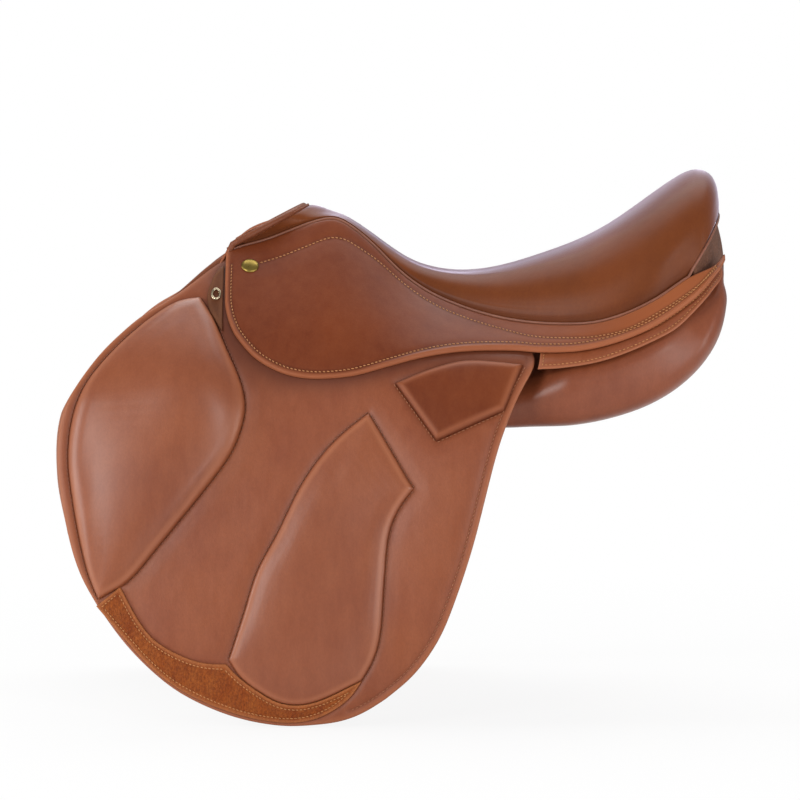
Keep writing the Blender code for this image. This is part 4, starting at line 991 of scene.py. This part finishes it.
def bindingShape(u, v, w):
    look = bindingLook
    d = np.minimum(u, 1 - u) * look["width"]
    outer = look["lift"] - roundedRim(d, look["thick"])
    outer = outer - look["creaseDepth"] * bell(d - look["stitchAt"], look["creaseWidth"])
    place = seatAt(look["share"] * u, 0.999 * (2 * v - 1), np.where(w > 0.5, outer, -look["under"]))
    return place, bell(d, look["rimWidth"]) * look["rimShare"], bell(d - look["stitchAt"], look["grooveWidth"])


binding = leatherSheet("pommel_binding", gridLines(bindingLook["width"], 1.0, (0.0, 0.3, 0.8, 1.5)),
                       np.linspace(0, 1, 110), bindingShape, boundEdge)
finished(binding, "root")
spread = np.linspace(-bindingLook["sewnReach"], bindingLook["sewnReach"], 120)
sewnBack = np.full(120, bindingLook["share"] * bindingLook["sewnAt"])
sewnLine = seatAt(sewnBack, spread, bindingLook["sewnLift"])
up = seatAt(sewnBack, spread, bindingLook["sewnLift"] + 1) - sewnLine
bindingThread = {"pitch": 3.9, "length": 3.0, "width": 0.9, "slant": 0.1}
sewn = stitches("pommel_stitches", [(sewnLine, up)], 1, warmThread, bindingThread)
finished(sewn, "root")

# a round edge over the pommel that runs on down the flap's front, thinner towards its ends
edgeLook = {"radius": 3.0, "endShare": 0.25, "taperPower": 0.7, "tailFrom": -300.0,
            "lean": (-40.0, 0, 72.0), "proud": 0.3,
            # x, z and depth that its tail is moved by, at its start and more at its end
            "start": (-1.0, 1.6, -2.6), "fall": (3.4, -4.6, -2.0)}
lean = np.array(edgeLook["lean"])
ahead = lean / np.linalg.norm(lean) * edgeLook["radius"] * edgeLook["proud"]
frontLine = seatAt(np.zeros(70), np.linspace(-0.97, 0.97, 70)) + ahead
tail = evenly([spot for spot in flapLook["front"] if spot[0] > edgeLook["tailFrom"]][::-1][1:], 4)
fall = np.linspace(0, 1, len(tail)) ** 2
(x, z, out), (xMore, zMore, outMore) = edgeLook["start"], edgeLook["fall"]
tail = sideAt(tail[:, 0] + x + xMore * fall, tail[:, 1] + z + zMore * fall,
              flapLook["out"] + out + outMore * fall)
frontLine = np.concatenate([tail[::-1] * (1, -1, 1), frontLine, tail])
taper = np.minimum(np.arange(len(frontLine)), np.arange(len(frontLine))[::-1]) / len(tail)
share = edgeLook["endShare"] + (1 - edgeLook["endShare"]) * unit(taper) ** edgeLook["taperPower"]
edging = tubePiece("pommel_edge", frontLine * mm, edgeLook["radius"] * share * mm, boundEdge, sidesRound=16)
finished(edging, "root", ["head_band"])

liningLook = {
    "thick": 2.2, "bulge": 10.0, "ahead": 25.0, "under": 13.5, "width": 45.0, "rimWidth": 2.5, "rimShare": 0.6,
    # the arch's lower edge, then where the outer edge lies on the flap and under the seat
    "arch": [(-216, 98, 60), (-205, 84, 90), (-190, 64, 118), (-170, 44, 140), (-152, 22, 153),
             (-146, 0, 157)],
    "flap": [(-258, 84, 26), (-246, 110, 19)], "seat": [0.96, 0.62, 0.3, 0.0]}
archCore = np.array(liningLook["arch"], float)
archRun = np.gradient(archCore, axis=0)
archRun[-1] = (0, -1, 0)
archUp = np.cross(archRun, (-1, 0, 0))
archUp /= np.linalg.norm(archUp, axis=1)[:, None]
archUp *= np.where(archUp[:, 2:] < 0, -1, 1)
liningInner = archCore - archUp * liningLook["under"] - np.array([liningLook["ahead"], 0, 0])
liningOuter = np.concatenate([sideAt(x, z, -depth) for x, z, depth in liningLook["flap"]]
                             + [seatAt(0.004, b, -2.6) for b in liningLook["seat"]])


def liningShape(u, v, w):  # closes the pommel's front, from the seat's edge to the arch's inner edge
    look = liningLook

    def surface(u, v):
        s = (1 - np.abs(2 * v - 1)) * 5
        knots = np.arange(6.0)
        p = curveAt(liningOuter, knots, s) * (1 - u)[:, None] + curveAt(liningInner, knots, s) * u[:, None]
        p[:, 0] -= look["bulge"] * np.sin(math.pi * u)
        return p * np.stack([np.ones(len(v)), np.sign(v - 0.5), np.ones(len(v))], 1)

    place = surface(u, v)
    step = 0.01
    a = np.clip(u, step, 1 - step)
    b = np.where(np.abs(v - 0.5) < step, 0.5 + step, np.clip(v, step, 1 - step))
    n = np.cross(surface(a + step, b) - surface(a - step, b),
                 surface(a, b + step / 2) - surface(a, b - step / 2))
    n /= np.maximum(np.linalg.norm(n, axis=1), 1e-9)[:, None]
    n *= np.where(n[:, :1] > 0, -1, 1)
    n[:, 1] *= unit(np.abs(v - 0.5) / 0.05)  # straight ahead at the middle
    d = np.minimum(u, 1 - u) * look["width"]
    depth = np.where(w > 0.5, look["thick"] / 2 - roundedRim(d, look["thick"]), -look["thick"] / 2)
    return place + n * depth[:, None], bell(d, look["rimWidth"]) * look["rimShare"], np.zeros(len(u))


lining = leatherSheet("pommel_lining", gridLines(liningLook["width"], 2.2, (0.0, 0.4, 1.1)),
                      np.linspace(0, 1, 121), liningShape, tan)
finished(lining, "root")

foamLook = {"from": 0.32, "length": 0.5, "half": 0.64, "top": -3.6, "thick": 16.5, "rounded": 9.5, "rim": 7.0}


def foamShape(u, v, w):
    look = foamLook
    rim = unit(np.minimum(np.minimum(u, 1 - u), np.minimum(v, 1 - v)) * look["rim"])
    low = look["thick"] - look["rounded"] * (1 - np.sqrt(1 - (1 - rim) ** 2))
    depth = np.where(w > 0.5, look["top"], -low)
    place = seatAt(look["from"] + look["length"] * u, look["half"] * (2 * v - 1), depth)
    return place, np.zeros(len(u)), np.zeros(len(u))


padding = leatherSheet("seat_padding", np.linspace(0, 1, 60), np.linspace(0, 1, 40), foamShape, foam)
finished(padding, "root", ["seat_foam"])
print("seat covered")


# flat leathers: under flap, buckle guard, the ring's tab, the strip under the seat
layers = {
    "sweat_flap": {
        "runs": [
            [(-292, 96), (-262, 62), (-220, 42), (-130, 38), (-40, 38), (40, 36)],
            [(40, 36), (22, -40), (0, -110), (-40, -170)],
            [(-40, -170), (-100, -214), (-200, -214), (-300, -176), (-368, -108)],
            [(-368, -108), (-378, -57), (-375, -5), (-354, 40), (-315, 82), (-292, 96)]],
        "out": -21.3, "thick": 3.0, "step": 3.2, "stitch": 5.0, "mat": underTan, "thread": warmThread},
    "buckle_guard": {
        "runs": [
            [(-112, 24), (-58, 25), (-4, 20)], [(-4, 20), (-4, -40), (-12, -92), (-26, -108)],
            [(-26, -108), (-58, -116), (-90, -108)], [(-90, -108), (-104, -92), (-112, -40), (-112, 24)]],
        "out": -10.1, "thick": 2.4, "step": 2.6, "stitch": 4.5, "mat": underTan, "thread": warmThread},
    "ring_tab": {
        "runs": [
            [(-223.5, 134), (-228, 131), (-233, 124)], [(-233, 124), (-238, 109), (-236.5, 95), (-230, 84)],
            [(-230, 84), (-227, 79), (-223.5, 75)], [(-223.5, 75), (-223.5, 100), (-223.5, 134)]],
        "out": -0.8, "thick": 3.2, "step": 1.1, "stitch": 0, "mat": tabDarkAndShadedTan, "thread": paleThread},
    "rear_facing": {
        "runs": [
            [(72, 64), (109, 64), (144, 72), (179, 86), (215, 110), (236, 129), (246, 139)],
            [(246, 139), (248.5, 132), (248, 126)],
            [(248, 126), (222, 102), (198, 80), (176, 68), (147, 56), (120, 48), (91, 44), (69, 43)],
            [(69, 43), (71, 53), (72, 64)]],
        "out": -5.0, "thick": 2.5, "step": 1.6, "stitch": 3.6, "mat": tan, "thread": paleThread}}


layerEdge = {"creaseDepth": 0.45, "creaseWidth": 1.3, "grooveWidth": 1.2, "grooveShare": 0.7, "rimWidth": 2.6,
             "threadDrop": 0.3}
layerThread = {"pitch": 3.9, "length": 3.0, "width": 0.85, "slant": 0.15}


def layerPiece(label, look, side, hand):
    outline = closed(look["runs"], 2.5)

    def shape(u, v, w):
        p = coons(look["runs"], u, v)
        d = np.maximum(insideOf(p, outline), 0)
        drawn = roundedRim(d, look["thick"])
        fromThread = d - look["stitch"]
        crease = layerEdge["creaseDepth"] * bell(fromThread, layerEdge["creaseWidth"]) * (look["stitch"] > 0)
        depth = np.where(w > 0.5, look["out"] - drawn - crease, look["out"] - look["thick"] + drawn)
        groove = bell(fromThread, layerEdge["grooveWidth"]) * layerEdge["grooveShare"]
        return onSide(p, depth), bell(d, layerEdge["rimWidth"]), groove

    lengths = [lengthOf(evenly(run, 4)) for run in look["runs"]]
    close = (0.0, 0.3, 0.9, 1.8) if look["step"] > 1.2 else (0.0, 0.3, 0.8)
    us = gridLines(max(lengths[0], lengths[2]), look["step"], close)
    vs = gridLines(max(lengths[1], lengths[3], 9.5), look["step"], close)
    piece = leatherSheet(label + "_leather_" + side, us, vs, shape, look["mat"], hand)
    finished(piece, "root", [label + "_" + side])
    if look["stitch"]:
        ring = outline[:-1]
        turn = np.roll(ring, -1, 0) - np.roll(ring, 1, 0)
        turn /= np.linalg.norm(turn, axis=1)[:, None]
        inwards = np.stack([turn[:, 1], -turn[:, 0]], 1) * look["stitch"]
        if insideOf(ring[:1] + inwards[:1], outline)[0] < 0:
            inwards = -inwards
        line = ring + inwards
        line = line[insideOf(line, outline) > look["stitch"] * 0.8]
        rows = splitRows(*threadRow(line, look["out"] - layerEdge["threadDrop"]))
        sewn = stitches(label + "_stitches_" + side, rows, hand, look["thread"], layerThread)
        finished(sewn, "root")


def splitRows(places, normals, jump=9.0):  # parts a row of places where it leaps
    cuts = np.flatnonzero(np.linalg.norm(np.diff(places, axis=0), axis=1) > jump) + 1
    return [row for row in zip(np.split(places, cuts), np.split(normals, cuts)) if len(row[0]) > 2]


kneeBlockLook = {
    "runs": [[(-330, 20), (-310, 38), (-285, 40)], [(-285, 40), (-262, -30), (-280, -100), (-318, -140)],
             [(-318, -140), (-332, -136), (-342, -120)], [(-342, -120), (-350, -50), (-330, 20)]],
    "roll": 8.0, "rollHeight": 4.5, "crownHeight": 3.2, "fullness": 0.8, "cap": 1.2,
    "replaces": ["inner_knee_block"], "step": 2.8}
kneeBlockLook["outline"] = closed(kneeBlockLook["runs"], 3)
kneeBlockLook["field"] = crownField(kneeBlockLook["outline"])
for side, hand in sides.items():
    for label, look in layers.items():
        layerPiece(label, look, side, hand)
    sewnPad("inner_knee_block", kneeBlockLook, layers["sweat_flap"]["out"], underTan, side, hand, bends=False)
print("under layers ready")


# girth straps with their holes; the point is how far the tip narrows, by pointShare of the width
strapLook = {
    "centres": {"front": -95, "middle": -60, "rear": -25}, "width": 25.0, "top": 24.0, "length": 195.0,
    "point": 16.0, "pointShare": 0.55, "out": -14.1, "thick": 4.0, "step": 2.3, "close": (0.0, 0.4, 1.2),
    "holes": 8, "firstHole": 30.0, "pitch": 18.0, "hole": 2.1, "stitchAt": 3.2, "creaseDepth": 0.3,
    "creaseWidth": 0.8, "threadDrop": 0.05, "threadTop": 4.0, "threadFoot": 18.0}
strapThread = {"pitch": 3.8, "length": 2.9, "width": 0.8, "slant": 0.12}


def strapPiece(label, side, hand):
    look = strapLook
    centre, body = look["centres"][label], "girth_strap_" + label + "_" + side
    us, vs = (gridLines(look[key], look["step"], look["close"]) for key in ("width", "length"))
    middle = len(us) // 2
    us[middle] = 0.5
    bm, i, k, face = flatSheet(us, vs)
    u, v = us[i], vs[k]
    z = look["top"] - look["length"] * v
    tip = np.maximum(1 - look["length"] * (1 - v) / look["point"], 0)
    half = look["width"] / 2 * (1 - look["pointShare"] * tip * tip)
    x = centre + (2 * u - 1) * half
    d = np.minimum(np.minimum(u, 1 - u) * 2 * half, np.minimum(v, 1 - v) * look["length"])
    drawn = roundedRim(d, look["thick"])
    crease = look["creaseDepth"] * bell(d - look["stitchAt"], look["creaseWidth"])
    depth = np.where(face > 0.5, look["out"] - drawn - crease, look["out"] - look["thick"] + drawn)
    moveTo(bm, sideAt(x, z, depth) * np.array([1, hand, 1]) * mm)
    bm.verts.ensure_lookup_table()
    centres, loops = [], []
    for n in range(look["holes"]):
        want = 1 - (look["firstHole"] + n * look["pitch"]) / look["length"]
        rowAt = int(np.abs(vs - want).argmin())
        for level in (0, 1):
            vert = bm.verts[int(np.flatnonzero((i == middle) & (k == rowAt) & (face.round() == level))[0])]
            for other in {other for quad in vert.link_faces for other in quad.verts} - {vert}:
                other.co = vert.co + (other.co - vert.co).normalized() * look["hole"] * mm
            loops.append([e for quad in vert.link_faces for e in quad.edges if vert not in e.verts])
            centres.append(vert)
    bmesh.ops.delete(bm, geom=centres, context="VERTS")
    for a, b in zip(loops[::2], loops[1::2]):
        bmesh.ops.bridge_loops(bm, edges=a + b)
    piece = newPiece("girth_strap_leather_" + label + "_" + side, bm, underTan)
    finished(piece, body, [body])
    z = np.linspace(look["top"] - look["threadTop"], look["top"] - look["length"] + look["threadFoot"], 60)
    rows = []
    for edge in (-1, 1):
        x = np.full(60, centre + edge * (look["width"] / 2 - look["stitchAt"]))
        rows.append(threadRow(np.stack([x, z], 1), look["out"] - look["threadDrop"]))
    sewn = stitches("strap_stitches_" + label + "_" + side, rows, hand, warmThread, strapThread)
    finished(sewn, body)


for side, hand in sides.items():
    for label in strapLook["centres"]:
        strapPiece(label, side, hand)
print("straps ready")


panelLook = {
    # core x, z and half width, then the section's half length and half height, and its turn
    "rows": [
        (-218, 60, 70, 28, 8, 62), (-196, 56, 72, 36, 11, 60), (-150, 48, 77, 45, 14, 56),
        (-90, 40, 85, 54, 15, 48), (-30, 29, 90, 58, 18, 38), (30, 19, 92, 58, 24, 27),
        (80, 19, 92, 58, 28, 18), (125, 23, 91, 58, 29, 13), (165, 35, 90, 56, 29, 11),
        (197, 54, 87, 53, 28, 8), (221, 79, 81, 47, 25, 4), (236, 101, 76, 38, 16, 0),
        (240, 118, 71, 28, 8, 0), (243, 134, 66, 20, 4.5, 0)],
    "endRound": 0.03, "boxy": 0.7, "thin": 0.985, "cap": 1.5, "skinFrom": 0.04, "around": 72,
    # its rear swells out to the strip above it, and stays clear of the skirt from clearFrom up
    "fullFrom": 55.0, "fullTo": 105.0, "fullEnd": 215.0, "fullStop": 250.0, "wider": 9.0, "higher": 0.55,
    "clear": 8.6, "clearFrom": 20.0}
panelRows = np.array(panelLook["rows"], float)
panelKnots = np.arange(len(panelRows), dtype=float)


def panelSkin(u, v):  # u runs from front to rear, v round the section
    look, last = panelLook, len(panelRows) - 1
    s = u * last
    row = curveAt(panelRows, panelKnots, s)
    run = (curveAt(panelRows, panelKnots, np.minimum(s + 0.02, last))
           - curveAt(panelRows, panelKnots, np.maximum(s - 0.02, 0)))
    run = run[:, :2] / np.linalg.norm(run[:, :2], axis=1)[:, None]
    turn = np.radians(row[:, 5])
    zero = np.zeros(len(s))
    normal = np.stack([-run[:, 1], zero, run[:, 0]], 1)
    flat = np.stack([zero, np.ones(len(s)), zero], 1)
    out = flat * np.cos(turn)[:, None] - normal * np.sin(turn)[:, None]
    up = flat * np.sin(turn)[:, None] + normal * np.cos(turn)[:, None]
    angle = math.pi / 2 + 2 * math.pi * v
    wide, tall = (np.sign(way(angle)) * np.abs(way(angle)) ** look["boxy"] for way in (np.cos, np.sin))
    e = 1 - unit(np.minimum(u, 1 - u) / look["endRound"])
    small = np.sqrt(np.maximum(1 - e * e, 0)) * look["thin"]
    core = np.stack([row[:, 0], row[:, 2], row[:, 1]], 1)
    full = unit((row[:, 0] - look["fullFrom"]) / (look["fullTo"] - look["fullFrom"]))
    full = full * full * (3 - 2 * full)
    full = full * unit((look["fullStop"] - row[:, 0]) / (look["fullStop"] - look["fullEnd"]))
    long = row[:, 3] + look["wider"] * full * (wide > 0)
    high = row[:, 4] * (1 + look["higher"] * full * (tall > 0))
    place = core + out * (long * wide * small)[:, None] + up * (high * tall * small)[:, None]
    inner = halfWidth(place[:, 0], place[:, 2]) - look["clear"]
    over = np.maximum(place[:, 1] - inner, 0) * unit((place[:, 2] - look["clearFrom"]) / 20)
    place[:, 1] -= over * (full > 0)
    return place


skinFrom = panelLook["skinFrom"]  # the simulated part leaves out the ends, which close to a point
skinPart = 1 - 2 * skinFrom
panelMoves = simulated(lambda u, v: panelSkin(skinFrom + skinPart * u, v), panelLook["cap"], "panel")


def stationLines(count, rimCount=12, rim=0.03):  # closer lines where the ends are rounded
    ends = rim * (1 - np.cos(np.linspace(0, math.pi / 2, rimCount)))
    return np.concatenate([ends[:-1], np.linspace(rim, 1 - rim, count), 1 - ends[::-1][1:]])


lines = stationLines(120)
for side, hand in sides.items():
    bm = bmesh.new()
    bmesh.ops.create_grid(bm, x_segments=len(lines) - 1, y_segments=panelLook["around"], size=0.5)
    co = np.array([v.co for v in bm.verts])
    u = lines[np.rint((co[:, 0] + 0.5) * (len(lines) - 1)).astype(int)]
    v = co[:, 1] + 0.5
    place = panelSkin(u, v) + panelMoves((u - skinFrom) / skinPart, v)
    moveTo(bm, place * np.array([1, hand, 1]) * mm)
    bmesh.ops.remove_doubles(bm, verts=bm.verts, dist=1e-5)
    panel = newPiece("panel_leather_" + side, bm, panelTan)
    finished(panel, "root", ["panel_" + side])
print("panels ready")


# behind the cantle: inside the piping at the top, round the tree at its foot
facingLook = {"reach": 0.9, "in": 2.9, "below": 7.1, "footX": 252.0, "footRound": 42.0, "footZ": 110.0,
              "footDrop": 6.0, "footReach": 120.0, "footShare": 0.97, "bulge": 4.0, "thick": 2.5,
              "width": 150.0, "height": 60.0, "rimWidth": 2.5, "rimShare": 0.7}


def facingShape(u, v, w):
    look = facingLook
    top = seatAt(np.ones(len(u)), look["reach"] * (2 * u - 1)) - np.array([look["in"], 0, look["below"]])
    share = (top[:, 1] / look["footReach"]) ** 2
    foot = np.stack([look["footX"] - look["footRound"] * share, top[:, 1] * look["footShare"],
                     look["footZ"] - look["footDrop"] * share], 1)
    here = top + (foot - top) * v[:, None]
    here[:, 0] += look["bulge"] * np.sin(math.pi * v)
    d = np.minimum(np.minimum(u, 1 - u) * look["width"], np.minimum(v, 1 - v) * look["height"])
    here[:, 0] -= np.where(w > 0.5, roundedRim(d, look["thick"]), look["thick"])
    return here, bell(d, look["rimWidth"]) * look["rimShare"], np.zeros(len(u))


facing = leatherSheet("cantle_facing_leather", gridLines(facingLook["width"], 1.8),
                      gridLines(facingLook["height"], 1.8), facingShape, facingTan)
finished(facing, "root", ["cantle_facing"])

nailLook = {"x": -199.0, "z": 132.0, "radius": 8.2, "rise": 2.2, "lift": 0.7, "shank": 1.5, "back": -0.5,
            "point": -6.0}
ringLook = {"x": -230.0, "z": 111.0, "wire": 1.1, "width": 7.4, "drop": 12.0, "lift": 1.6, "on": -0.8}


def outwards(look):  # the leather's direction at a fitting
    return sideNormal(np.array([look["x"]]), np.array([look["z"]]))[0]


for side, hand in sides.items():
    bm = bmesh.new()
    base = sideAt(nailLook["x"], nailLook["z"], nailLook["lift"])[0] * (1, hand, 1)
    out = Vector(outwards(nailLook) * (1, hand, 1))
    head = [(nailLook["radius"] * math.sin(a), nailLook["rise"] * math.cos(a))
            for a in np.linspace(0, math.pi / 2, 10)]
    shank = [(nailLook["radius"], nailLook["back"]), (nailLook["shank"], nailLook["back"]),
             (nailLook["shank"], nailLook["point"]), (0, nailLook["point"])]
    profile = [bm.verts.new((x, 0, z)) for x, z in head + shank]
    edges = [bm.edges.new(pair) for pair in zip(profile, profile[1:])]
    bmesh.ops.spin(bm, geom=profile + edges, cent=(0, 0, 0), axis=(0, 0, 1), angle=math.tau, steps=48,
                   use_merge=True)
    bmesh.ops.remove_doubles(bm, verts=bm.verts, dist=1e-4)
    turn = Vector((0, 0, 1)).rotation_difference(out).to_matrix().to_4x4()
    put = Matrix.Scale(mm, 4) @ Matrix.Translation(Vector(base)) @ turn
    bmesh.ops.transform(bm, matrix=put, verts=bm.verts)
    nail = newPiece("brass_nail_" + side, bm, brass)
    finished(nail, "root", ["nail_" + side])

    # the ring turns about a line along the saddle, so its loop lies square to that line
    n = Vector((0, *outwards(ringLook)[1:])).normalized()
    down = Vector((0, n.z, -n.y))
    pivot = Vector(sideAt(ringLook["x"], ringLook["z"], ringLook["on"])[0]) + n * ringLook["lift"]
    half = ringLook["width"] / 2
    loop = [(half * math.sin(a), ringLook["drop"] / 2 * (1 - math.cos(a)))
            for a in np.linspace(0, math.tau, 41)[:-1]]
    points = np.array([pivot + Vector((x, 0, 0)) + down * r for x, r in loop]) * (1, hand, 1)
    ring = tubePiece("brass_ring_" + side, points * mm, ringLook["wire"] * mm, ringMetal, closedLoop=True)
    finished(ring, "front_ring_" + side, ["front_ring_" + side])
print("metal ready")


# finishes for the solids that keep showing
finishes = {
    "tree_head": wood, "tree_rail": wood, "tree_cantle": wood, "head_plate": steel, "gullet_plate": steel,
    "stirrup_bar": steel, "stirrup_catch": steel, "seat_web": webbing, "girth_web": webbing,
    "gullet_lining": underTan}
for name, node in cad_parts.items():
    for label, finish in finishes.items():
        if name.startswith(label):
            node.material_slots[0].material = finish

cameraLook = {"x": -0.0578, "away": 4.0, "raised": math.radians(4), "halfView": 0.3852}
cameraData = bpy.data.cameras.new("camera")
camera = bpy.data.objects.new("camera", cameraData)
bpy.context.scene.collection.objects.link(camera)
bpy.context.scene.camera = camera
cameraData.angle = 2 * math.atan(cameraLook["halfView"] / cameraLook["away"])
camera.location = (cameraLook["x"], -cameraLook["away"] * math.cos(cameraLook["raised"]),
                   cameraLook["away"] * math.sin(cameraLook["raised"]))
camera.rotation_euler = (math.pi / 2 - cameraLook["raised"], 0, 0)

lamps = {  # place, what it points at, size, power
    "over": [(0.1, 0.9, 2.1), (0, 0, 0.1), (2.2, 1.9), 40],
    "key": [(-2.0, -2.7, 1.0), (0, 0, 0), (1.3, 1.3), 46],
    "fill": [(2.0, -2.9, 0.1), (0, 0, 0), (1.6, 1.6), 36],
    "left_strip": [(-2.4, -0.5, 0.3), (-0.3, 0, 0), (0.5, 1.6), 24],
    "right_strip": [(2.3, -0.9, 0.0), (0.1, 0, 0), (0.5, 1.4), 14],
    "soft_spot": [(1.3, -3.2, 1.25), (-0.1, 0, 0), (0.34, 0.34), 14]}
for name, (place, aim, size, power) in lamps.items():
    data = bpy.data.lights.new(name, "AREA")
    data.shape, data.size, data.size_y, data.energy = "RECTANGLE", *size, power
    lamp = bpy.data.objects.new(name, data)
    lamp.location = place
    lamp.rotation_euler = (Vector(aim) - Vector(place)).to_track_quat("-Z", "Y").to_euler()
    bpy.context.scene.collection.objects.link(lamp)

# the camera sees a white ground, and what lights the leather from all round is dimmer
world = bpy.data.worlds.new("studio")
world.use_nodes = True
bpy.context.scene.world = world
nodes, links = world.node_tree.nodes, world.node_tree.links
sky = nodes["Background"]
sky.inputs["Color"].default_value = (1, 1, 1, 1)
sky.inputs["Strength"].default_value = 0.32
white = nodes.new("ShaderNodeBackground")
white.inputs["Color"].default_value = (1, 1, 1, 1)
white.inputs["Strength"].default_value = 1.0
rays = nodes.new("ShaderNodeLightPath")
either = nodes.new("ShaderNodeMath")
either.operation = "MAXIMUM"
mixer = nodes.new("ShaderNodeMixShader")
links.new(rays.outputs["Is Camera Ray"], either.inputs[0])
links.new(rays.outputs["Is Transmission Ray"], either.inputs[1])
links.new(either.outputs[0], mixer.inputs[0])
links.new(sky.outputs[0], mixer.inputs[1])
links.new(white.outputs[0], mixer.inputs[2])
links.new(mixer.outputs[0], nodes["World Output"].inputs[0])

# a pale floor that glows for the camera, more so away from the saddle, so that it fades into the ground
floorLook = {"z": -0.2855, "size": 6, "nearGlow": 0.88, "glowFrom": 0.35, "glowTo": 1.1}
floorMesh = bmesh.new()
bmesh.ops.create_grid(floorMesh, x_segments=1, y_segments=1, size=floorLook["size"],
                      matrix=Matrix.Translation((0, 0, floorLook["z"])))
g = Graph("pale_floor")
floorPiece = newPiece("floor", floorMesh, g.finish(Base_Color=(0.9, 0.9, 0.9), Roughness=0.9))
seen = g.tree.nodes.new("ShaderNodeLightPath")
glow = g.tree.nodes.new("ShaderNodeEmission")
glow.inputs["Strength"].default_value = 1.0
mix = g.tree.nodes.new("ShaderNodeMixShader")
share = g.tree.nodes.new("ShaderNodeMath")
share.operation = "MULTIPLY"
far = g.node("ShaderNodeVectorMath", {"operation": "LENGTH"}, {0: g.place()}, 1)
g.put(share.inputs[1], g.clamp(far, floorLook["glowFrom"], floorLook["glowTo"], floorLook["nearGlow"], 1.0))
g.tree.links.new(seen.outputs["Is Camera Ray"], share.inputs[0])
g.tree.links.new(share.outputs[0], mix.inputs[0])
g.tree.links.new(g.shader.outputs[0], mix.inputs[1])
g.tree.links.new(glow.outputs[0], mix.inputs[2])
g.tree.links.new(mix.outputs[0], g.tree.nodes["Material Output"].inputs[0])

bpy.context.scene.view_settings.view_transform = "Standard"
print("saddle ready")
